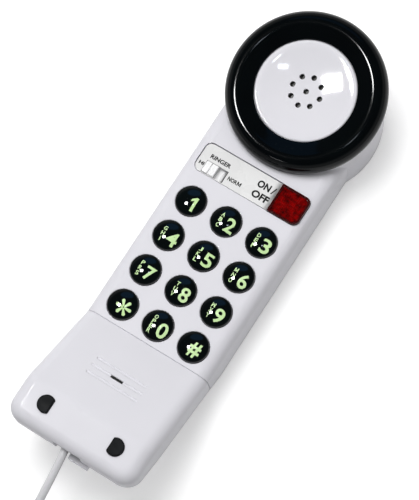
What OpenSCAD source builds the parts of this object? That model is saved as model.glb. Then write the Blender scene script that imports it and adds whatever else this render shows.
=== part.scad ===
// Slimline one-piece telephone: keypad, earpiece, mouthpiece and line cord.
// It lies on its flat back. +Z comes out of the keypad, +Y runs to the earpiece, +X is the
// keypad's right. Shapes are laid out from the keypad's middle and moved as a whole by mid_y.

/* [Handset] */
// Width across the keypad
body_w = 65; // [64:0.5:70]
// Thickness at the keypad, back to face
body_t = 25.5; // [25:0.5:28]
// Width across the mouthpiece end
foot_w = 66.6; // [64:0.2:72]
// Keypad middle to the crease below the keys
crease_len = 38.3; // [38:0.1:41]
// Keypad middle to the bend where the mouthpiece face levels off
bend_len = 80; // [76:0.5:84]
// Keypad middle to the mouthpiece end
foot_len = 99.6; // [98:0.2:106]
// Rise of the levelled face above the keypad face
foot_rise = 19.5; // [17:0.5:21]
// Keypad middle to the bend across the back
back_bend_len = 30; // [28:0.5:32]
// Slope of the back beyond that bend, in degrees
back_slope = 23.3; // [21:0.1:24]
// Wall thickness of both casings
wall = 2.2; // [1.8:0.1:2.4]
// Rounding of the edges round the face
front_r = 6; // [4:0.5:6.5]
// Rounding of the edges round the back
back_r = 4.5; // [3:0.5:5]
// Rounding of the mouthpiece end's corners, seen from the front
corner_r = 9; // [8:0.5:12]
// Height of the rear cover's side
cover_h = 5; // [4.5:0.1:6]

/* [Earpiece] */
// Gap between the control panel and the earpiece ring, seen from the front
ear_gap = 3.15; // [2.6:0.05:8]
// Height of the earpiece ring's widest circle above the back
ear_h = 33.3; // [33:0.1:36]
// Tilt of the earpiece towards the mouthpiece, in degrees
ear_tilt = 9.4; // [8:0.1:11]
// Outer diameter of the earpiece ring
ring_d = 75.7; // [75:0.1:80]
// Width of the ring's band, from its outer side to its opening
ring_band = 13.85; // [12.85:0.05:14.85]
// Radius of the ring's round section
ring_section_r = 6.3; // [6:0.1:6.8]
// Depth of the cap's dish
dish_depth = 1.6; // [1:0.1:2]
// Diameter of the sound holes
sound_hole_d = 2.4; // [1.6:0.1:3]
// Radius of the circle of sound holes
sound_circle_r = 7.2; // [5:0.1:9]
// Sound holes round the middle one
sound_holes = 8; // [6:1:10]
// How far the head's side at the back sits inside the ring's outer side
head_in = 1.35; // [0.85:0.05:1.85]
// How far the head's middle at the back sits before the earpiece's middle
head_shift = 3.7; // [2.2:0.1:5.2]

/* [Keys] */
// Distance from key to key
key_pitch = 19.05; // [18.5:0.05:19.3]
// Diameter of a key
key_d = 14.6; // [13:0.1:15.2]
// Height of a key's edge above the face
key_edge = 0.9; // [0.4:0.1:1.5]
// Height of a key's crown above its edge
key_crown = 1.7; // [1:0.1:2.2]
// Travel of a key
key_travel = 1.5; // [1:0.1:1.7]

/* [Control panel] */
// Keypad middle to the panel's middle
panel_len = 50; // [49.5:0.1:51]
// Size of the panel along the handset
panel_l = 14.4; // [14:0.1:15]
// Casing's left side to the panel
panel_in = 5.6; // [5.3:0.1:6.5]
// Right end of the panel from the middle line
panel_right = 12.4; // [11:0.1:12.6]
// Thickness of the panel plate
panel_t = 1; // [0.6:0.1:1.1]
// Panel's left end to the ringer window
window_in = 3.5; // [2.9:0.1:3.9]
// Length of the ringer window
window_l = 11.6; // [11.4:0.1:12.4]
// Width of the ringer window
window_w = 6.2; // [5.6:0.1:6.6]
// Length of the ringer knob
knob_l = 6.4; // [5.4:0.1:6.6]
// Travel of the ringer knob
knob_travel = 4.6; // [3.5:0.1:4.7]
// Casing's right side to the on and off button
button_in = 4.7; // [4.6:0.1:6.1]
// Travel of the on and off button
button_travel = 1.5; // [1:0.1:1.7]

/* [Mouthpiece] */
// Keypad middle to the microphone slot
mic_len = 60.2; // [59:0.1:62]
// Length of the microphone slot
mic_slot_l = 6.3; // [4:0.1:8]
// Length of the grooves beside it
groove_l = 27; // [20:0.5:32]
// Distance between the grooves
groove_gap = 4; // [3:0.1:5]
// Diameter of the microphone
mic_d = 9.7; // [9:0.1:10]
// Distance between the rest pads' middles
pad_gap = 37; // [34:0.5:40]
// Rest pads' middles from the mouthpiece end
pad_from_end = 12.1; // [11:0.1:13]
// Diameter of a rest pad's round side
pad_d = 9; // [7:0.1:10]
// Height of a rest pad above the face
pad_rise = 1.3; // [0.8:0.1:2]

/* [Insides] */
// Thickness of the circuit boards
board_t = 1.6; // [1.2:0.1:1.8]
// Keypad face to the top of the keypad board
key_board_drop = 7.5; // [7.4:0.1:8]
// Height of the main board above the cover's floor
main_board_lift = 3.8; // [3.4:0.1:4.2]
// Diameter of the receiver
receiver_d = 35.8; // [34:0.1:36]
// Diameter of the ringer disc
ringer_d = 27; // [25:0.5:28]

/* [Line cord] */
// Diameter of the line cord
cord_d = 3.8; // [3.8:0.05:4]
// Height of the jack's middle above the back
jack_z = 36; // [36:0.1:36.2]
// Width of the jack
jack_w = 14; // [13:0.1:15]

/* [Hidden] */
$fn = 64;

// Clearances
gap = 0.2; // between a moving piece and what guides it
seat_gap = 0.1; // between a piece and the seat that carries it
over = 1; // how far a cut runs past the face that it opens
lap = 0.5; // how far a boss or post runs into the wall that carries it

// Colours
shell_white = "whitesmoke";
gloss_black = [0.05, 0.06, 0.07];
panel_grey = "gainsboro";
lens_red = [0.7, 0.05, 0.05];
board_green = "seagreen";
steel = "silver";
cord_grey = "lightgray";

// Face and back of the handset along its length
mouth_slope = atan(foot_rise / (bend_len - crease_len));
function part_of(t) = min(max(t, 0), 1);
function mouth_part(y) = part_of((-crease_len - y) / (bend_len - crease_len));
function face_z(y) = body_t + foot_rise * mouth_part(y);
function back_z(y) = tan(back_slope) * max(0, -back_bend_len - y);
function half_w(y) = body_w / 2 + (foot_w - body_w) / 2 * mouth_part(y);
// Height of the parting face between the two casings
part_bend_y = -back_bend_len + cover_h * tan(back_slope / 2);
function part_z(y) = y > part_bend_y ? cover_h : back_z(y) + cover_h / cos(back_slope);

// Earpiece, in its own tilted frame: r from its middle, h along its axis
ring_r = ring_d / 2;
ear_len = panel_len + panel_l / 2 + ear_gap + ring_r; // keypad middle to the earpiece's middle
head_r = ring_r - head_in;
head_len = ear_len - head_shift;
section_mid_r = ring_r - ring_section_r;
seat_h = -3.2; // flat underside of the ring
seat_r = section_mid_r + sqrt(ring_section_r ^ 2 - seat_h ^ 2);
lip_r = ring_r - ring_band;
lip_top_h = 4.1;
lip_low_h = 2.5;
cap_r = lip_r + 3; // recess under the ring's lip
dish_r = lip_r - 2.4; // edge of the dish
cap_top_h = lip_low_h + 1;
cap_t = 1.8;
collar_t = 1.6;
collar_reach = 3; // how far the collar grips the receiver
gasket_t = 0.8;
receiver_h = 6.6;
receiver_wall = 0.8;
cap_floor_h = cap_top_h - dish_depth - cap_t;
receiver_top_h = cap_floor_h - gasket_t;
receiver_low_h = receiver_top_h - receiver_h;
collar_r = receiver_d / 2 + seat_gap + collar_t;
ring_screw_angles = [90, 210, 330];
head_end = ear_len + section_mid_r * cos(ear_tilt) + ring_section_r;

// Middle of the whole handset along its length, to a tenth
mid_y = round(5 * (head_end - foot_len)) / 10;

// Levels inside the keypad
face_in = body_t - wall; // inner side of the face
key_flange_t = 1;
key_flange_r = key_d / 2 + 1;
board_top = body_t - key_board_drop;
mat_t = 1;
mat_top = board_top + mat_t;
key_foot = mat_top + key_travel;
key_foot_r = 2.6;
key_cols = [-key_pitch, 0, key_pitch];
key_rows = [1.5 * key_pitch, 0.5 * key_pitch, -0.5 * key_pitch, -1.5 * key_pitch];
board_low = board_top - board_t;
board_w = body_w - 2 * wall - 5;
board_end = 2 * key_pitch;
board_post_r = 2.3;
screw_r = 0.9;
screw_head_r = 2;
screw_head_t = 1.4;
screw_lap = 0.2; // how far a screw's thread starts inside its head
ring_bite = 4.3;
ring_pilot = 5;
post_bite = 3.3;
post_pilot = 4;
cover_bite = 2.8;
cover_pilot = 3.5;

// Control panel and its switches
recess_t = panel_t + 0.2;
panel_corner_r = 3.5;
panel_left = body_w / 2 - panel_in; // from the middle line
window_left = panel_left - window_in;
button_left = panel_right + 0.5;
button_w = body_w / 2 - button_in - button_left;
button_mid_x = button_left + button_w / 2;
button_l = panel_l + 0.2;
button_r = 3;
button_rise = 1.2;
bevel = 1.1;
flange_out = 0.8;
flange_top = face_in - 1.1;
flange_t = 1.6;
flange_low = flange_top - flange_t;
window_len = panel_len - 3.8; // keypad middle to the window's middle
knob_w = window_w - 2 * gap;
knob_mid_x = -window_left + gap + knob_l / 2;
knob_rise = 0.4;
rib_w = 0.5;
stem_w = 2.5;
main_board_z = wall + main_board_lift;
main_top = main_board_z + board_t;
main_board_end = 58;
main_board_start = 26;
main_post_r = 2.6;
main_post_x = 22;
main_post_ys = [-20, 37];
switch_h = 8.4;
switch_w = 10;
plunger_r = 1.9;
plunger_reach = 5;
ringer_switch_h = 6.4;
ringer_switch_w = 7;

// Microphone and rest pads
slot_w = 1.6;
groove_w = 1.2;
groove_t = 0.45;
crease_w = 0.5;
boot_t = 1.2;
boot_r = mic_d / 2 + boot_t;
boot_l = 6.5;
boot_h = boot_l + 0.5; // depth of the collar round the boot
mic_h = 5;
mic_collar_t = 1.3;
facet_in = wall * cos(mouth_slope); // wall measured square to the mouthpiece face
pad_sink = 0.8;
pad_flat = 2.5;

// Case screws and ringer disc
case_screw_in = 8; // from the casing's side
head_screw_len = 13.8; // from the earpiece's middle
foot_screw_len = 23.7; // from the crease
head_screw = [body_w / 2 - case_screw_in, ear_len + head_screw_len];
foot_screw = [body_w / 2 - case_screw_in, -crease_len - foot_screw_len];
case_boss_r = 3.2;
case_screw_r = 1.3;
case_head_r = 2.4;
case_head_t = 1.6;
case_head_z = 0.8; // how deep the screw heads sit
case_screw_l = 10;
case_pilot = 9;
head_boss_top = ear_h + seat_h - wall / 2 + (head_screw[1] - ear_len) * tan(ear_tilt);
foot_boss_top = face_z(foot_screw[1] + case_boss_r) - wall / 3;
foot_post_low = back_z(foot_screw[1] - case_boss_r) + wall / 3;
sounder_h = 2; // height of the disc's seat above the floor
sounder_t = 0.6;
sounder_wall = 1.5;
sounder_rim = 1;
ringer_hole_r = 1;
ringer_ring_r = 4.5;

// Line plug and jack
plug_w = 9.6;
plug_h = 6.4;
plug_l = 12;
plug_out = 1.4;
latch_w = 3;
latch_t = 1;
contact_t = 0.35;
contact_pitch = 1.02;
jack_h = 10;
jack_l = 15;
jack_in = 1.2; // how far the jack's front sits inside the casing
jack_front = -foot_len + jack_in;
jack_rib_y = jack_front + 5;
jack_rib_l = 6;
plug_back = -foot_len - plug_out;
wire_d = 1.2;
wire_drop = 2.8; // straight drop of a wire onto its board
receiver_wire_x = 3;
mic_wire_x = 1.5;
jack_wire_in = 1.5; // from the jack's side
jack_wire_end_x = 9;
wire_end_in = 4; // from the board's end to the receiver's wires

// Route of the cord from the plug's back to the coil
cord_r = cord_d / 2;
LEAD_ROUTE = [
  [0, -119, 36], [0, -123, 36], [-0.5, -130, 35], [-1.5, -140, 32.5], [-2.5, -150, 28],
  [-3, -160, 21], [-3, -170, 13], [-3, -180, 6.5], [-3, -187, 3.5], [-3, -193, 2.7], [-3, -197, 2.7]
];
// Route of the cord from the coil to the far plug
TAIL_ROUTE = [
  [56, -197, 15.6], [56, -192, 15.6], [56.5, -184, 13.5], [58, -175, 8.5], [60, -166, 4.5],
  [61.5, -159, 3.2], [62, -156, 3.2], [62, -152, 3.2]
];
// Coil: it spirals in and out in layers, and climbs where it reverses
coil_mid = [26.5, -201];
coil_r = 29.5;
coil_pitch = 4.3;
coil_layers = 4;
layer_turns = 3.625;
loop_rings = 24;
coil_floor = 2.7;
route_y = plug_back - LEAD_ROUTE[0][1]; // the routes follow the plug
coil_steps = coil_layers * layer_turns * loop_rings;
function coil_in(t) = layer_turns - abs(layer_turns - t % (2 * layer_turns));
function coil_climb(t, k) = part_of(2 * (t - k * layer_turns) + 0.5);
function coil_layer(t) = coil_climb(t, 1) + coil_climb(t, 2) + coil_climb(t, 3);
function coil_point(t) =
  let (r = coil_r - coil_pitch * coil_in(t), a = 180 + 360 * t)
  [coil_mid[0] + r * cos(a), coil_mid[1] + r * sin(a), coil_floor + coil_pitch * coil_layer(t)];
COIL_TURNS = [for (i = [0 : coil_steps]) coil_point(i / loop_rings)];
COIL_END = COIL_TURNS[len(COIL_TURNS) - 1];
COIL_PATH = concat(
  [COIL_TURNS[0] + [0, 4, 0]],
  COIL_TURNS,
  [COIL_END + [0, 4, 0]]
);
// Least gap between turns, from points three quarters of a turn or more apart
near_step = loop_rings * 3 / 4;
coil_gap = min([
  for (i = [0 : 3 : coil_steps])
    min(concat([1000], [for (j = [i + near_step : 1 : coil_steps]) norm(COIL_TURNS[i] - COIL_TURNS[j])]))
]) - cord_d;
echo(coil_gap = coil_gap);

// A tube of one unbroken skin swept along points
function unit(v) = v / norm(v);
function heading(p, i) = unit(p[min(i + 1, len(p) - 1)] - p[max(i - 1, 0)]);
function across(d) = abs(d[2]) > 0.9 ? [1, 0, 0] : unit(cross(d, [0, 0, 1]));
function tube_ring(p, i, r, sides) =
  let (d = heading(p, i), u = across(d), v = cross(u, d))
  [
    for (k = [0 : sides - 1])
      let (a = 360 * (k + 0.5) / sides)
      p[i] + r * (cos(a) * u + sin(a) * v)
  ];
// Skin between rings of points that turn clockwise seen from the last one, closed at both ends
function skin_faces(rings, n) = [
  for (i = [0 : rings - 2])
    for (k = [0 : n - 1])
      let (a = i * n + k, b = i * n + (k + 1) % n)
      each [[a, b, b + n], [a, b + n, a + n]]
];
function fan_faces(first, n, turn) = [
  for (k = [1 : n - 2]) turn ? [first, first + k, first + k + 1] : [first, first + k + 1, first + k]
];
module skin(rings) {
  n = len(rings[0]);
  faces = concat(
    skin_faces(len(rings), n),
    fan_faces(0, n, false),
    fan_faces((len(rings) - 1) * n, n, true)
  );
  polyhedron([for (ring = rings) each ring], faces);
}
module tube(path, d, sides) {
  skin([for (i = [0 : len(path) - 1]) tube_ring(path, i, d / 2, sides)]);
}

// Outline of the handset seen from the front, drawn in by inset
side_ys = [
  ear_len - 13, 0, -back_bend_len, -crease_len, -(crease_len + bend_len) / 2, -bend_len
];
corner_mid = [half_w(-foot_len) - corner_r, -foot_len + corner_r];
function right_outline(inset) = concat(
  [for (y = side_ys) [half_w(y) - inset, y]],
  [for (a = [0 : 15 : 90]) corner_mid + (corner_r - inset) * [cos(a), -sin(a)]]
);
function outline(inset) =
  let (side = right_outline(inset), n = len(side))
  concat([for (p = side) [-p[0], p[1]]], [for (i = [n - 1 : -1 : 0]) side[i]]);
// Rings of the handset's form from the face round to the back, drawn in by inset on every side
function face_ring(inset, b) =
  let (r = front_r - inset)
  [for (p = outline(inset + r * (1 - sin(b)))) [p[0], p[1], face_z(p[1]) - inset - r * (1 - cos(b))]];
function back_ring(inset, b) =
  let (r = back_r - inset)
  [for (p = outline(inset + r * (1 - sin(b)))) [p[0], p[1], back_z(p[1]) + inset + r * (1 - cos(b))]];
// A face across the outline, in strips from side to side
function strip_faces(first, n, turn) = [
  for (i = [0 : n / 2 - 2])
    let (a = first + i, b = first + n - 1 - i)
    each turn
      ? [[a, a + 1, b - 1], [a, b - 1, b]]
      : [[a, b - 1, a + 1], [a, b, b - 1]]
];
module handset_form(inset) {
  rings = concat(
    [for (b = [0 : 15 : 90]) face_ring(inset, b)],
    [for (b = [90 : -22.5 : 0]) back_ring(inset, b)]
  );
  n = len(rings[0]);
  faces = concat(
    skin_faces(len(rings), n),
    strip_faces(0, n, false),
    strip_faces((len(rings) - 1) * n, n, true)
  );
  polyhedron([for (ring = rings) each ring], faces);
}

// The round head: its back is level, and its top lies square to the earpiece
head_sides = 64;
module at_ear() {
  translate([0, ear_len, ear_h])
    rotate([ear_tilt, 0, 0])
      children();
}
function head_ring(r, z) = [
  for (k = [0 : head_sides - 1])
    let (a = -360 * k / head_sides)
    [r * cos(a), head_len + r * sin(a), z]
];
// Its top ring stands above the seat by rise, and the ring's room then cuts it flat
function seat_ring(inset, rise) =
  let (r = seat_r - inset, h = seat_h - inset + rise)
  [
    for (k = [0 : head_sides - 1])
      let (a = -360 * k / head_sides, y = r * sin(a))
      [
        r * cos(a),
        ear_len + y * cos(ear_tilt) - h * sin(ear_tilt),
        ear_h + y * sin(ear_tilt) + h * cos(ear_tilt)
      ]
  ];
module head_form(inset, rise) {
  r = back_r - inset;
  skin(concat(
    [for (b = [0 : 22.5 : 90]) head_ring(head_r - inset - r * (1 - sin(b)), inset + r * (1 - cos(b)))],
    [seat_ring(inset, rise)]
  ));
}
module casing_walls() {
  difference() {
    union() {
      handset_form(0);
      head_form(0, over);
    }
    handset_form(wall);
    head_form(wall, 0);
  }
}

// Everything below the parting face
module below_parting(shift = 0) {
  far = head_end + over;
  low = -foot_len - 3 * over;
  rotate([90, 0, 90])
    translate([0, 0, -ring_d])
      linear_extrude(2 * ring_d)
        polygon([
          [far, -over], [far, cover_h + shift], [part_bend_y, cover_h + shift],
          [low, part_z(low) + shift], [low, -over]
        ]);
}

// The same thing on both sides of the middle line
module both_sides() {
  children();
  mirror([1, 0, 0]) children();
}

// Where the keypad board's posts stand, between the keys
module at_board_posts() {
  for (x = [-key_pitch / 2, key_pitch / 2])
    for (y = [-key_pitch, key_pitch])
      translate([x, y, 0]) children();
}
module at_main_posts() {
  for (x = [-main_post_x, main_post_x])
    for (y = main_post_ys)
      translate([x, y, 0]) children();
}
module at_keys() {
  for (x = key_cols)
    for (y = key_rows)
      translate([x, y, 0]) children();
}
module at_ring_screws() {
  at_ear()
    for (a = ring_screw_angles)
      rotate([0, 0, a]) translate([section_mid_r - 1, 0, 0]) children();
}
// Frame on the mouthpiece face at distance len below the keypad, +Z out of the face
module at_facet(len) {
  translate([0, -len, face_z(-len)])
    rotate([-mouth_slope, 0, 0])
      children();
}
// Post from the cover's floor, or boss from the face, for a case screw
module at_case_screws() {
  both_sides() {
    translate([head_screw[0], head_screw[1], 0]) children();
    translate([foot_screw[0], foot_screw[1], part_z(foot_screw[1]) - cover_h]) children();
  }
}

// A plate with two sharp and two round corners, its sharp side at x = 0
module half_round_plate(l, w, r) {
  translate([0, -w / 2]) square([l - r, w]);
  translate([0, -w / 2 + r]) square([l, w - 2 * r]);
  for (s = [-1, 1]) translate([l - r, s * (w / 2 - r)]) circle(r);
}
module panel_outline(out) {
  translate([panel_right + out, panel_len])
    mirror([1, 0])
      half_round_plate(panel_right + panel_left + 2 * out, panel_l + 2 * out, panel_corner_r + out);
}
module button_outline(out) {
  translate([button_left - out, panel_len])
    half_round_plate(button_w + 2 * out, button_l + 2 * out, button_r + out);
}
module window_outline() {
  translate([-window_left, window_len - window_w / 2]) square([window_l, window_w]);
}
module jack_cut() {
  translate([-jack_w / 2 - gap, -foot_len - 2 * over, jack_z - jack_h / 2 - gap])
    cube([jack_w + 2 * gap, jack_l + 2 * over, jack_h + 2 * gap]);
}

module front_shell_cuts() {
  // Keys and control panel
  translate([0, 0, face_in - over]) at_keys() cylinder(r = key_d / 2 + gap, h = wall + 2 * over);
  translate([0, 0, body_t - recess_t]) linear_extrude(recess_t + over) panel_outline(gap);
  translate([0, 0, body_t - recess_t]) linear_extrude(recess_t + over) button_outline(gap);
  translate([0, 0, face_in - over]) linear_extrude(wall + 2 * over) button_outline(gap);
  translate([0, 0, face_in - over]) linear_extrude(wall + 2 * over) window_outline();
  // Earpiece: room for the ring, and the receiver's opening
  at_ear() translate([0, 0, seat_h]) cylinder(r = ring_r + gap, h = ring_section_r * 2);
  at_ear() translate([0, 0, seat_h - wall - over]) cylinder(r = collar_r + gap, h = wall + 2 * over);
  at_ring_screws() translate([0, 0, seat_h - wall - over])
    cylinder(r = screw_r + gap, h = wall + 2 * over);
  // Mouthpiece
  at_facet(mic_len) translate([-mic_slot_l / 2, -slot_w / 2, -facet_in - over])
    cube([mic_slot_l, slot_w, facet_in + 2 * over]);
  for (k = [-1, 0, 1])
    at_facet(mic_len + k * groove_gap) translate([-groove_l / 2, -groove_w / 2, -groove_t])
      cube([groove_l, groove_w, groove_t + over]);
  translate([-foot_w, -crease_len - crease_w / 2, body_t - groove_t]) cube([2 * foot_w, crease_w, over]);
  at_pads() translate([0, 0, face_z(-foot_len) - pad_sink])
    linear_extrude(pad_sink + over) pad_outline(gap);
  jack_cut();
}
module at_pads() {
  both_sides() translate([pad_gap / 2, -foot_len + pad_from_end, 0]) children();
}
module pad_outline(out) {
  intersection() {
    circle(pad_d / 2 + out);
    translate([-pad_flat - out, -pad_d]) square([2 * pad_d, 2 * pad_d]);
  }
}

module front_shell() {
  color(shell_white)
    difference() {
      union() {
        difference() {
          casing_walls();
          below_parting();
        }
        // Posts for the keypad board, bosses for the case screws, collar for the microphone
        translate([0, 0, board_top]) at_board_posts()
          cylinder(r = board_post_r, h = face_in - board_top + lap);
        both_sides() {
          translate([head_screw[0], head_screw[1], cover_h])
            cylinder(r = case_boss_r, h = head_boss_top - cover_h);
          translate([foot_screw[0], foot_screw[1], part_z(foot_screw[1])])
            cylinder(r = case_boss_r, h = foot_boss_top - part_z(foot_screw[1]));
        }
        at_facet(mic_len) translate([0, 0, -facet_in - boot_h])
          cylinder(r = boot_r + seat_gap + mic_collar_t, h = boot_h + lap);
      }
      front_shell_cuts();
      translate([0, 0, board_top - over]) at_board_posts() cylinder(r = screw_r, h = post_pilot + over);
      at_case_screws() translate([0, 0, cover_h - over])
        cylinder(r = case_screw_r, h = case_pilot + over);
      at_facet(mic_len) translate([0, 0, -facet_in - boot_h - over])
        cylinder(r = boot_r + seat_gap, h = boot_h + over);
    }
}

module rear_cover() {
  color(shell_white)
    difference() {
      union() {
        intersection() {
          casing_walls();
          below_parting();
        }
        // Posts for the main board and the case screws, seat for the ringer disc, rib for the jack
        translate([0, 0, wall - lap]) at_main_posts()
          cylinder(r = main_post_r, h = main_board_lift + lap);
        both_sides() {
          translate([head_screw[0], head_screw[1], wall - lap])
            cylinder(r = case_boss_r, h = cover_h - wall + lap);
          translate([foot_screw[0], foot_screw[1], foot_post_low])
            cylinder(r = case_boss_r, h = part_z(foot_screw[1]) - foot_post_low - seat_gap);
        }
        translate([0, ear_len, wall - lap])
          cylinder(r = ringer_d / 2 + seat_gap + sounder_wall, h = lap + sounder_h + sounder_rim);
        translate([-jack_w / 4, jack_rib_y, back_z(jack_rib_y) + wall / 2])
          cube([jack_w / 2, jack_rib_l, jack_z - jack_h / 2 - back_z(jack_rib_y) - wall / 2]);
      }
      translate([0, 0, main_board_z - cover_pilot]) at_main_posts()
        cylinder(r = screw_r, h = cover_pilot + over);
      at_case_screws() translate([0, 0, -2 * over])
        cylinder(r = case_screw_r + gap, h = cover_h + 4 * over);
      at_case_screws() translate([0, 0, -3 * over])
        cylinder(r = case_head_r + gap, h = case_head_t + case_head_z + 3 * over);
      translate([0, ear_len, wall]) cylinder(r = ringer_d / 2 - sounder_wall, h = sounder_h + over);
      translate([0, ear_len, wall + sounder_h])
        cylinder(r = ringer_d / 2 + seat_gap, h = sounder_rim + over);
      translate([0, ear_len, -over]) ringer_holes();
      jack_cut();
    }
}
module ringer_holes() {
  cylinder(r = ringer_hole_r, h = wall + 2 * over);
  for (a = [0 : 60 : 300])
    rotate([0, 0, a]) translate([ringer_ring_r, 0, 0])
      cylinder(r = ringer_hole_r, h = wall + 2 * over);
}

// Half section of the ring: a round roll with a lip that slopes in over the cap
module ring_section() {
  touch = 115; // where the lip's slope meets the roll
  difference() {
    union() {
      translate([section_mid_r, 0]) circle(ring_section_r, $fn = 96);
      polygon([
        [lip_r, lip_low_h - over], [section_mid_r, lip_low_h - over],
        [section_mid_r, 0],
        [section_mid_r + ring_section_r * cos(touch), ring_section_r * sin(touch)],
        [lip_r, lip_top_h]
      ]);
    }
    translate([0, seat_h - ring_section_r]) square([ring_d, ring_section_r]);
    translate([0, seat_h - over]) square([cap_r, lip_low_h - seat_h + over]);
  }
}
module earpiece_ring() {
  color(gloss_black)
    difference() {
      at_ear() rotate_extrude($fn = 96) ring_section();
      at_ring_screws() translate([0, 0, seat_h - over]) cylinder(r = screw_r, h = ring_pilot + over);
    }
}
module ring_screws() {
  color(steel)
    at_ring_screws() {
      translate([0, 0, seat_h - wall - screw_head_t]) cylinder(r = screw_head_r, h = screw_head_t);
      translate([0, 0, seat_h - wall - screw_lap])
        cylinder(r = screw_r - seat_gap, h = screw_lap + wall + ring_bite);
    }
}

// Half section of the cap: a dish with a rounded rim, a step under the ring's lip and a skirt
module cap_section() {
  dish_curve_r = (dish_r ^ 2 + dish_depth ^ 2) / (2 * dish_depth);
  flange_r = cap_r - seat_gap;
  crown_r = lip_r - seat_gap;
  rim_r = cap_top_h - lip_low_h;
  difference() {
    union() {
      square([crown_r - rim_r, cap_top_h]);
      translate([crown_r - rim_r, cap_top_h - rim_r]) circle(rim_r);
      square([crown_r, cap_top_h - rim_r]);
      translate([0, seat_h]) square([flange_r, lip_low_h - seat_gap - seat_h]);
    }
    translate([0, cap_top_h - dish_depth + dish_curve_r]) circle(dish_curve_r, $fn = 256);
    translate([0, seat_h - over]) square([flange_r - 1.6, cap_floor_h - seat_h + over]);
  }
  translate([collar_r - collar_t, receiver_top_h - collar_reach])
    square([collar_t, cap_floor_h - receiver_top_h + collar_reach + seat_gap]);
}
module earpiece_cap() {
  color(shell_white)
    at_ear() difference() {
      rotate_extrude($fn = 96) cap_section();
      translate([0, 0, cap_floor_h - over]) cylinder(d = sound_hole_d, h = 4 * over + cap_t);
      for (k = [0 : sound_holes - 1])
        rotate([0, 0, 360 * k / sound_holes])
          translate([sound_circle_r, 0, cap_floor_h - over])
            cylinder(d = sound_hole_d, h = 4 * over + cap_t);
    }
}
module receiver_gasket() {
  color("dimgray")
    at_ear() translate([0, 0, receiver_top_h]) difference() {
      cylinder(r = receiver_d / 2, h = gasket_t);
      translate([0, 0, -over]) cylinder(r = receiver_d / 2 - 4, h = gasket_t + 2 * over);
    }
}
module receiver_frame() {
  color(steel)
    at_ear() translate([0, 0, receiver_low_h]) difference() {
      cylinder(r = receiver_d / 2, h = receiver_h);
      translate([0, 0, receiver_wall]) cylinder(r = receiver_d / 2 - 2, h = receiver_h);
      translate([0, 0, receiver_h - 1]) cylinder(r = receiver_d / 2 - receiver_wall, h = 2);
    }
}
module receiver_diaphragm() {
  color("lightblue")
    at_ear() translate([0, 0, receiver_top_h - 1]) {
      difference() {
        cylinder(r = receiver_d / 2 - receiver_wall - seat_gap, h = 0.3);
        translate([0, 0, -over]) cylinder(r = receiver_d / 4, h = 3);
      }
      cylinder(r1 = receiver_d / 4 + 0.5, r2 = receiver_d / 4 - 0.5, h = 0.6);
    }
}
module receiver_magnet() {
  color("gray")
    at_ear() translate([0, 0, receiver_low_h + receiver_wall])
      cylinder(r = receiver_d / 4.5, h = receiver_h / 2);
}

// Microphone in its rubber boot, square to the mouthpiece face
module mic_boot() {
  color("dimgray")
    at_facet(mic_len) translate([0, 0, -facet_in - seat_gap - boot_l]) difference() {
      cylinder(r = boot_r, h = boot_l);
      translate([0, 0, -over]) cylinder(r = mic_d / 2, h = boot_l - boot_t + over);
      cylinder(r = mic_d / 4, h = boot_l + over);
    }
}
module mic_capsule() {
  color(steel)
    at_facet(mic_len) translate([0, 0, -facet_in - seat_gap - boot_t - mic_h])
      cylinder(r = mic_d / 2, h = mic_h);
}

// Key with a crowned top, a flange under the face and a foot on its dome
module key(col, row) {
  top = body_t + key_edge + key_crown;
  crown_r = (key_d ^ 2 / 4 + key_crown ^ 2) / (2 * key_crown);
  flange_z = face_in - seat_gap - key_flange_t;
  color(gloss_black)
    translate([key_cols[col], key_rows[row], 0])
      rotate_extrude() {
        intersection() {
          translate([0, flange_z]) square([key_d / 2, top - flange_z]);
          translate([0, top - crown_r]) circle(crown_r, $fn = 192);
        }
        translate([0, flange_z]) square([key_flange_r, key_flange_t]);
        translate([0, key_foot + seat_gap]) square([key_foot_r, flange_z - key_foot]);
      }
}
module keypad_mat() {
  dome_r = key_foot_r + 2;
  color("lightgray")
    difference() {
      union() {
        translate([-board_w / 2, -board_end, board_top]) cube([board_w, 2 * board_end, mat_t]);
        translate([0, 0, mat_top]) at_keys() cylinder(r1 = dome_r, r2 = key_foot_r, h = key_travel);
      }
      translate([0, 0, board_top - over]) at_keys() cylinder(r = key_foot_r - 0.8, h = mat_t + key_travel);
      translate([0, 0, board_top - over])
        at_board_posts() cylinder(r = board_post_r + seat_gap, h = mat_t + 2 * over);
    }
}
module keypad_board() {
  color(board_green)
    translate([0, 0, board_low]) difference() {
      translate([-board_w / 2, -board_end, 0]) cube([board_w, 2 * board_end, board_t]);
      translate([0, 0, -over]) at_board_posts() cylinder(r = screw_r + gap, h = board_t + 2 * over);
    }
}

module main_board() {
  color(board_green)
    translate([0, 0, main_board_z]) difference() {
      translate([-board_w / 2, -main_board_start, 0])
        cube([board_w, main_board_start + main_board_end, board_t]);
      translate([0, 0, -over]) at_main_posts() cylinder(r = screw_r + gap, h = board_t + 2 * over);
    }
}
module board_screws() {
  color(steel) {
    at_board_posts() {
      translate([0, 0, board_low - screw_head_t]) cylinder(r = screw_head_r, h = screw_head_t);
      translate([0, 0, board_low - screw_lap])
        cylinder(r = screw_r - seat_gap, h = screw_lap + board_t + post_bite);
    }
    at_main_posts() {
      translate([0, 0, main_top]) cylinder(r = screw_head_r, h = screw_head_t);
      translate([0, 0, main_board_z - cover_bite])
        cylinder(r = screw_r - seat_gap, h = cover_bite + board_t + screw_lap);
    }
  }
}
module line_transformer() {
  core = [14, 16, 6];
  winding = [17, 12, 4];
  color("dimgray")
    translate([-13, -4, main_top]) {
      translate([-core[0] / 2, -core[1] / 2, 0]) cube(core);
      translate([-winding[0] / 2, -winding[1] / 2, 0]) cube(winding);
    }
}
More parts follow.
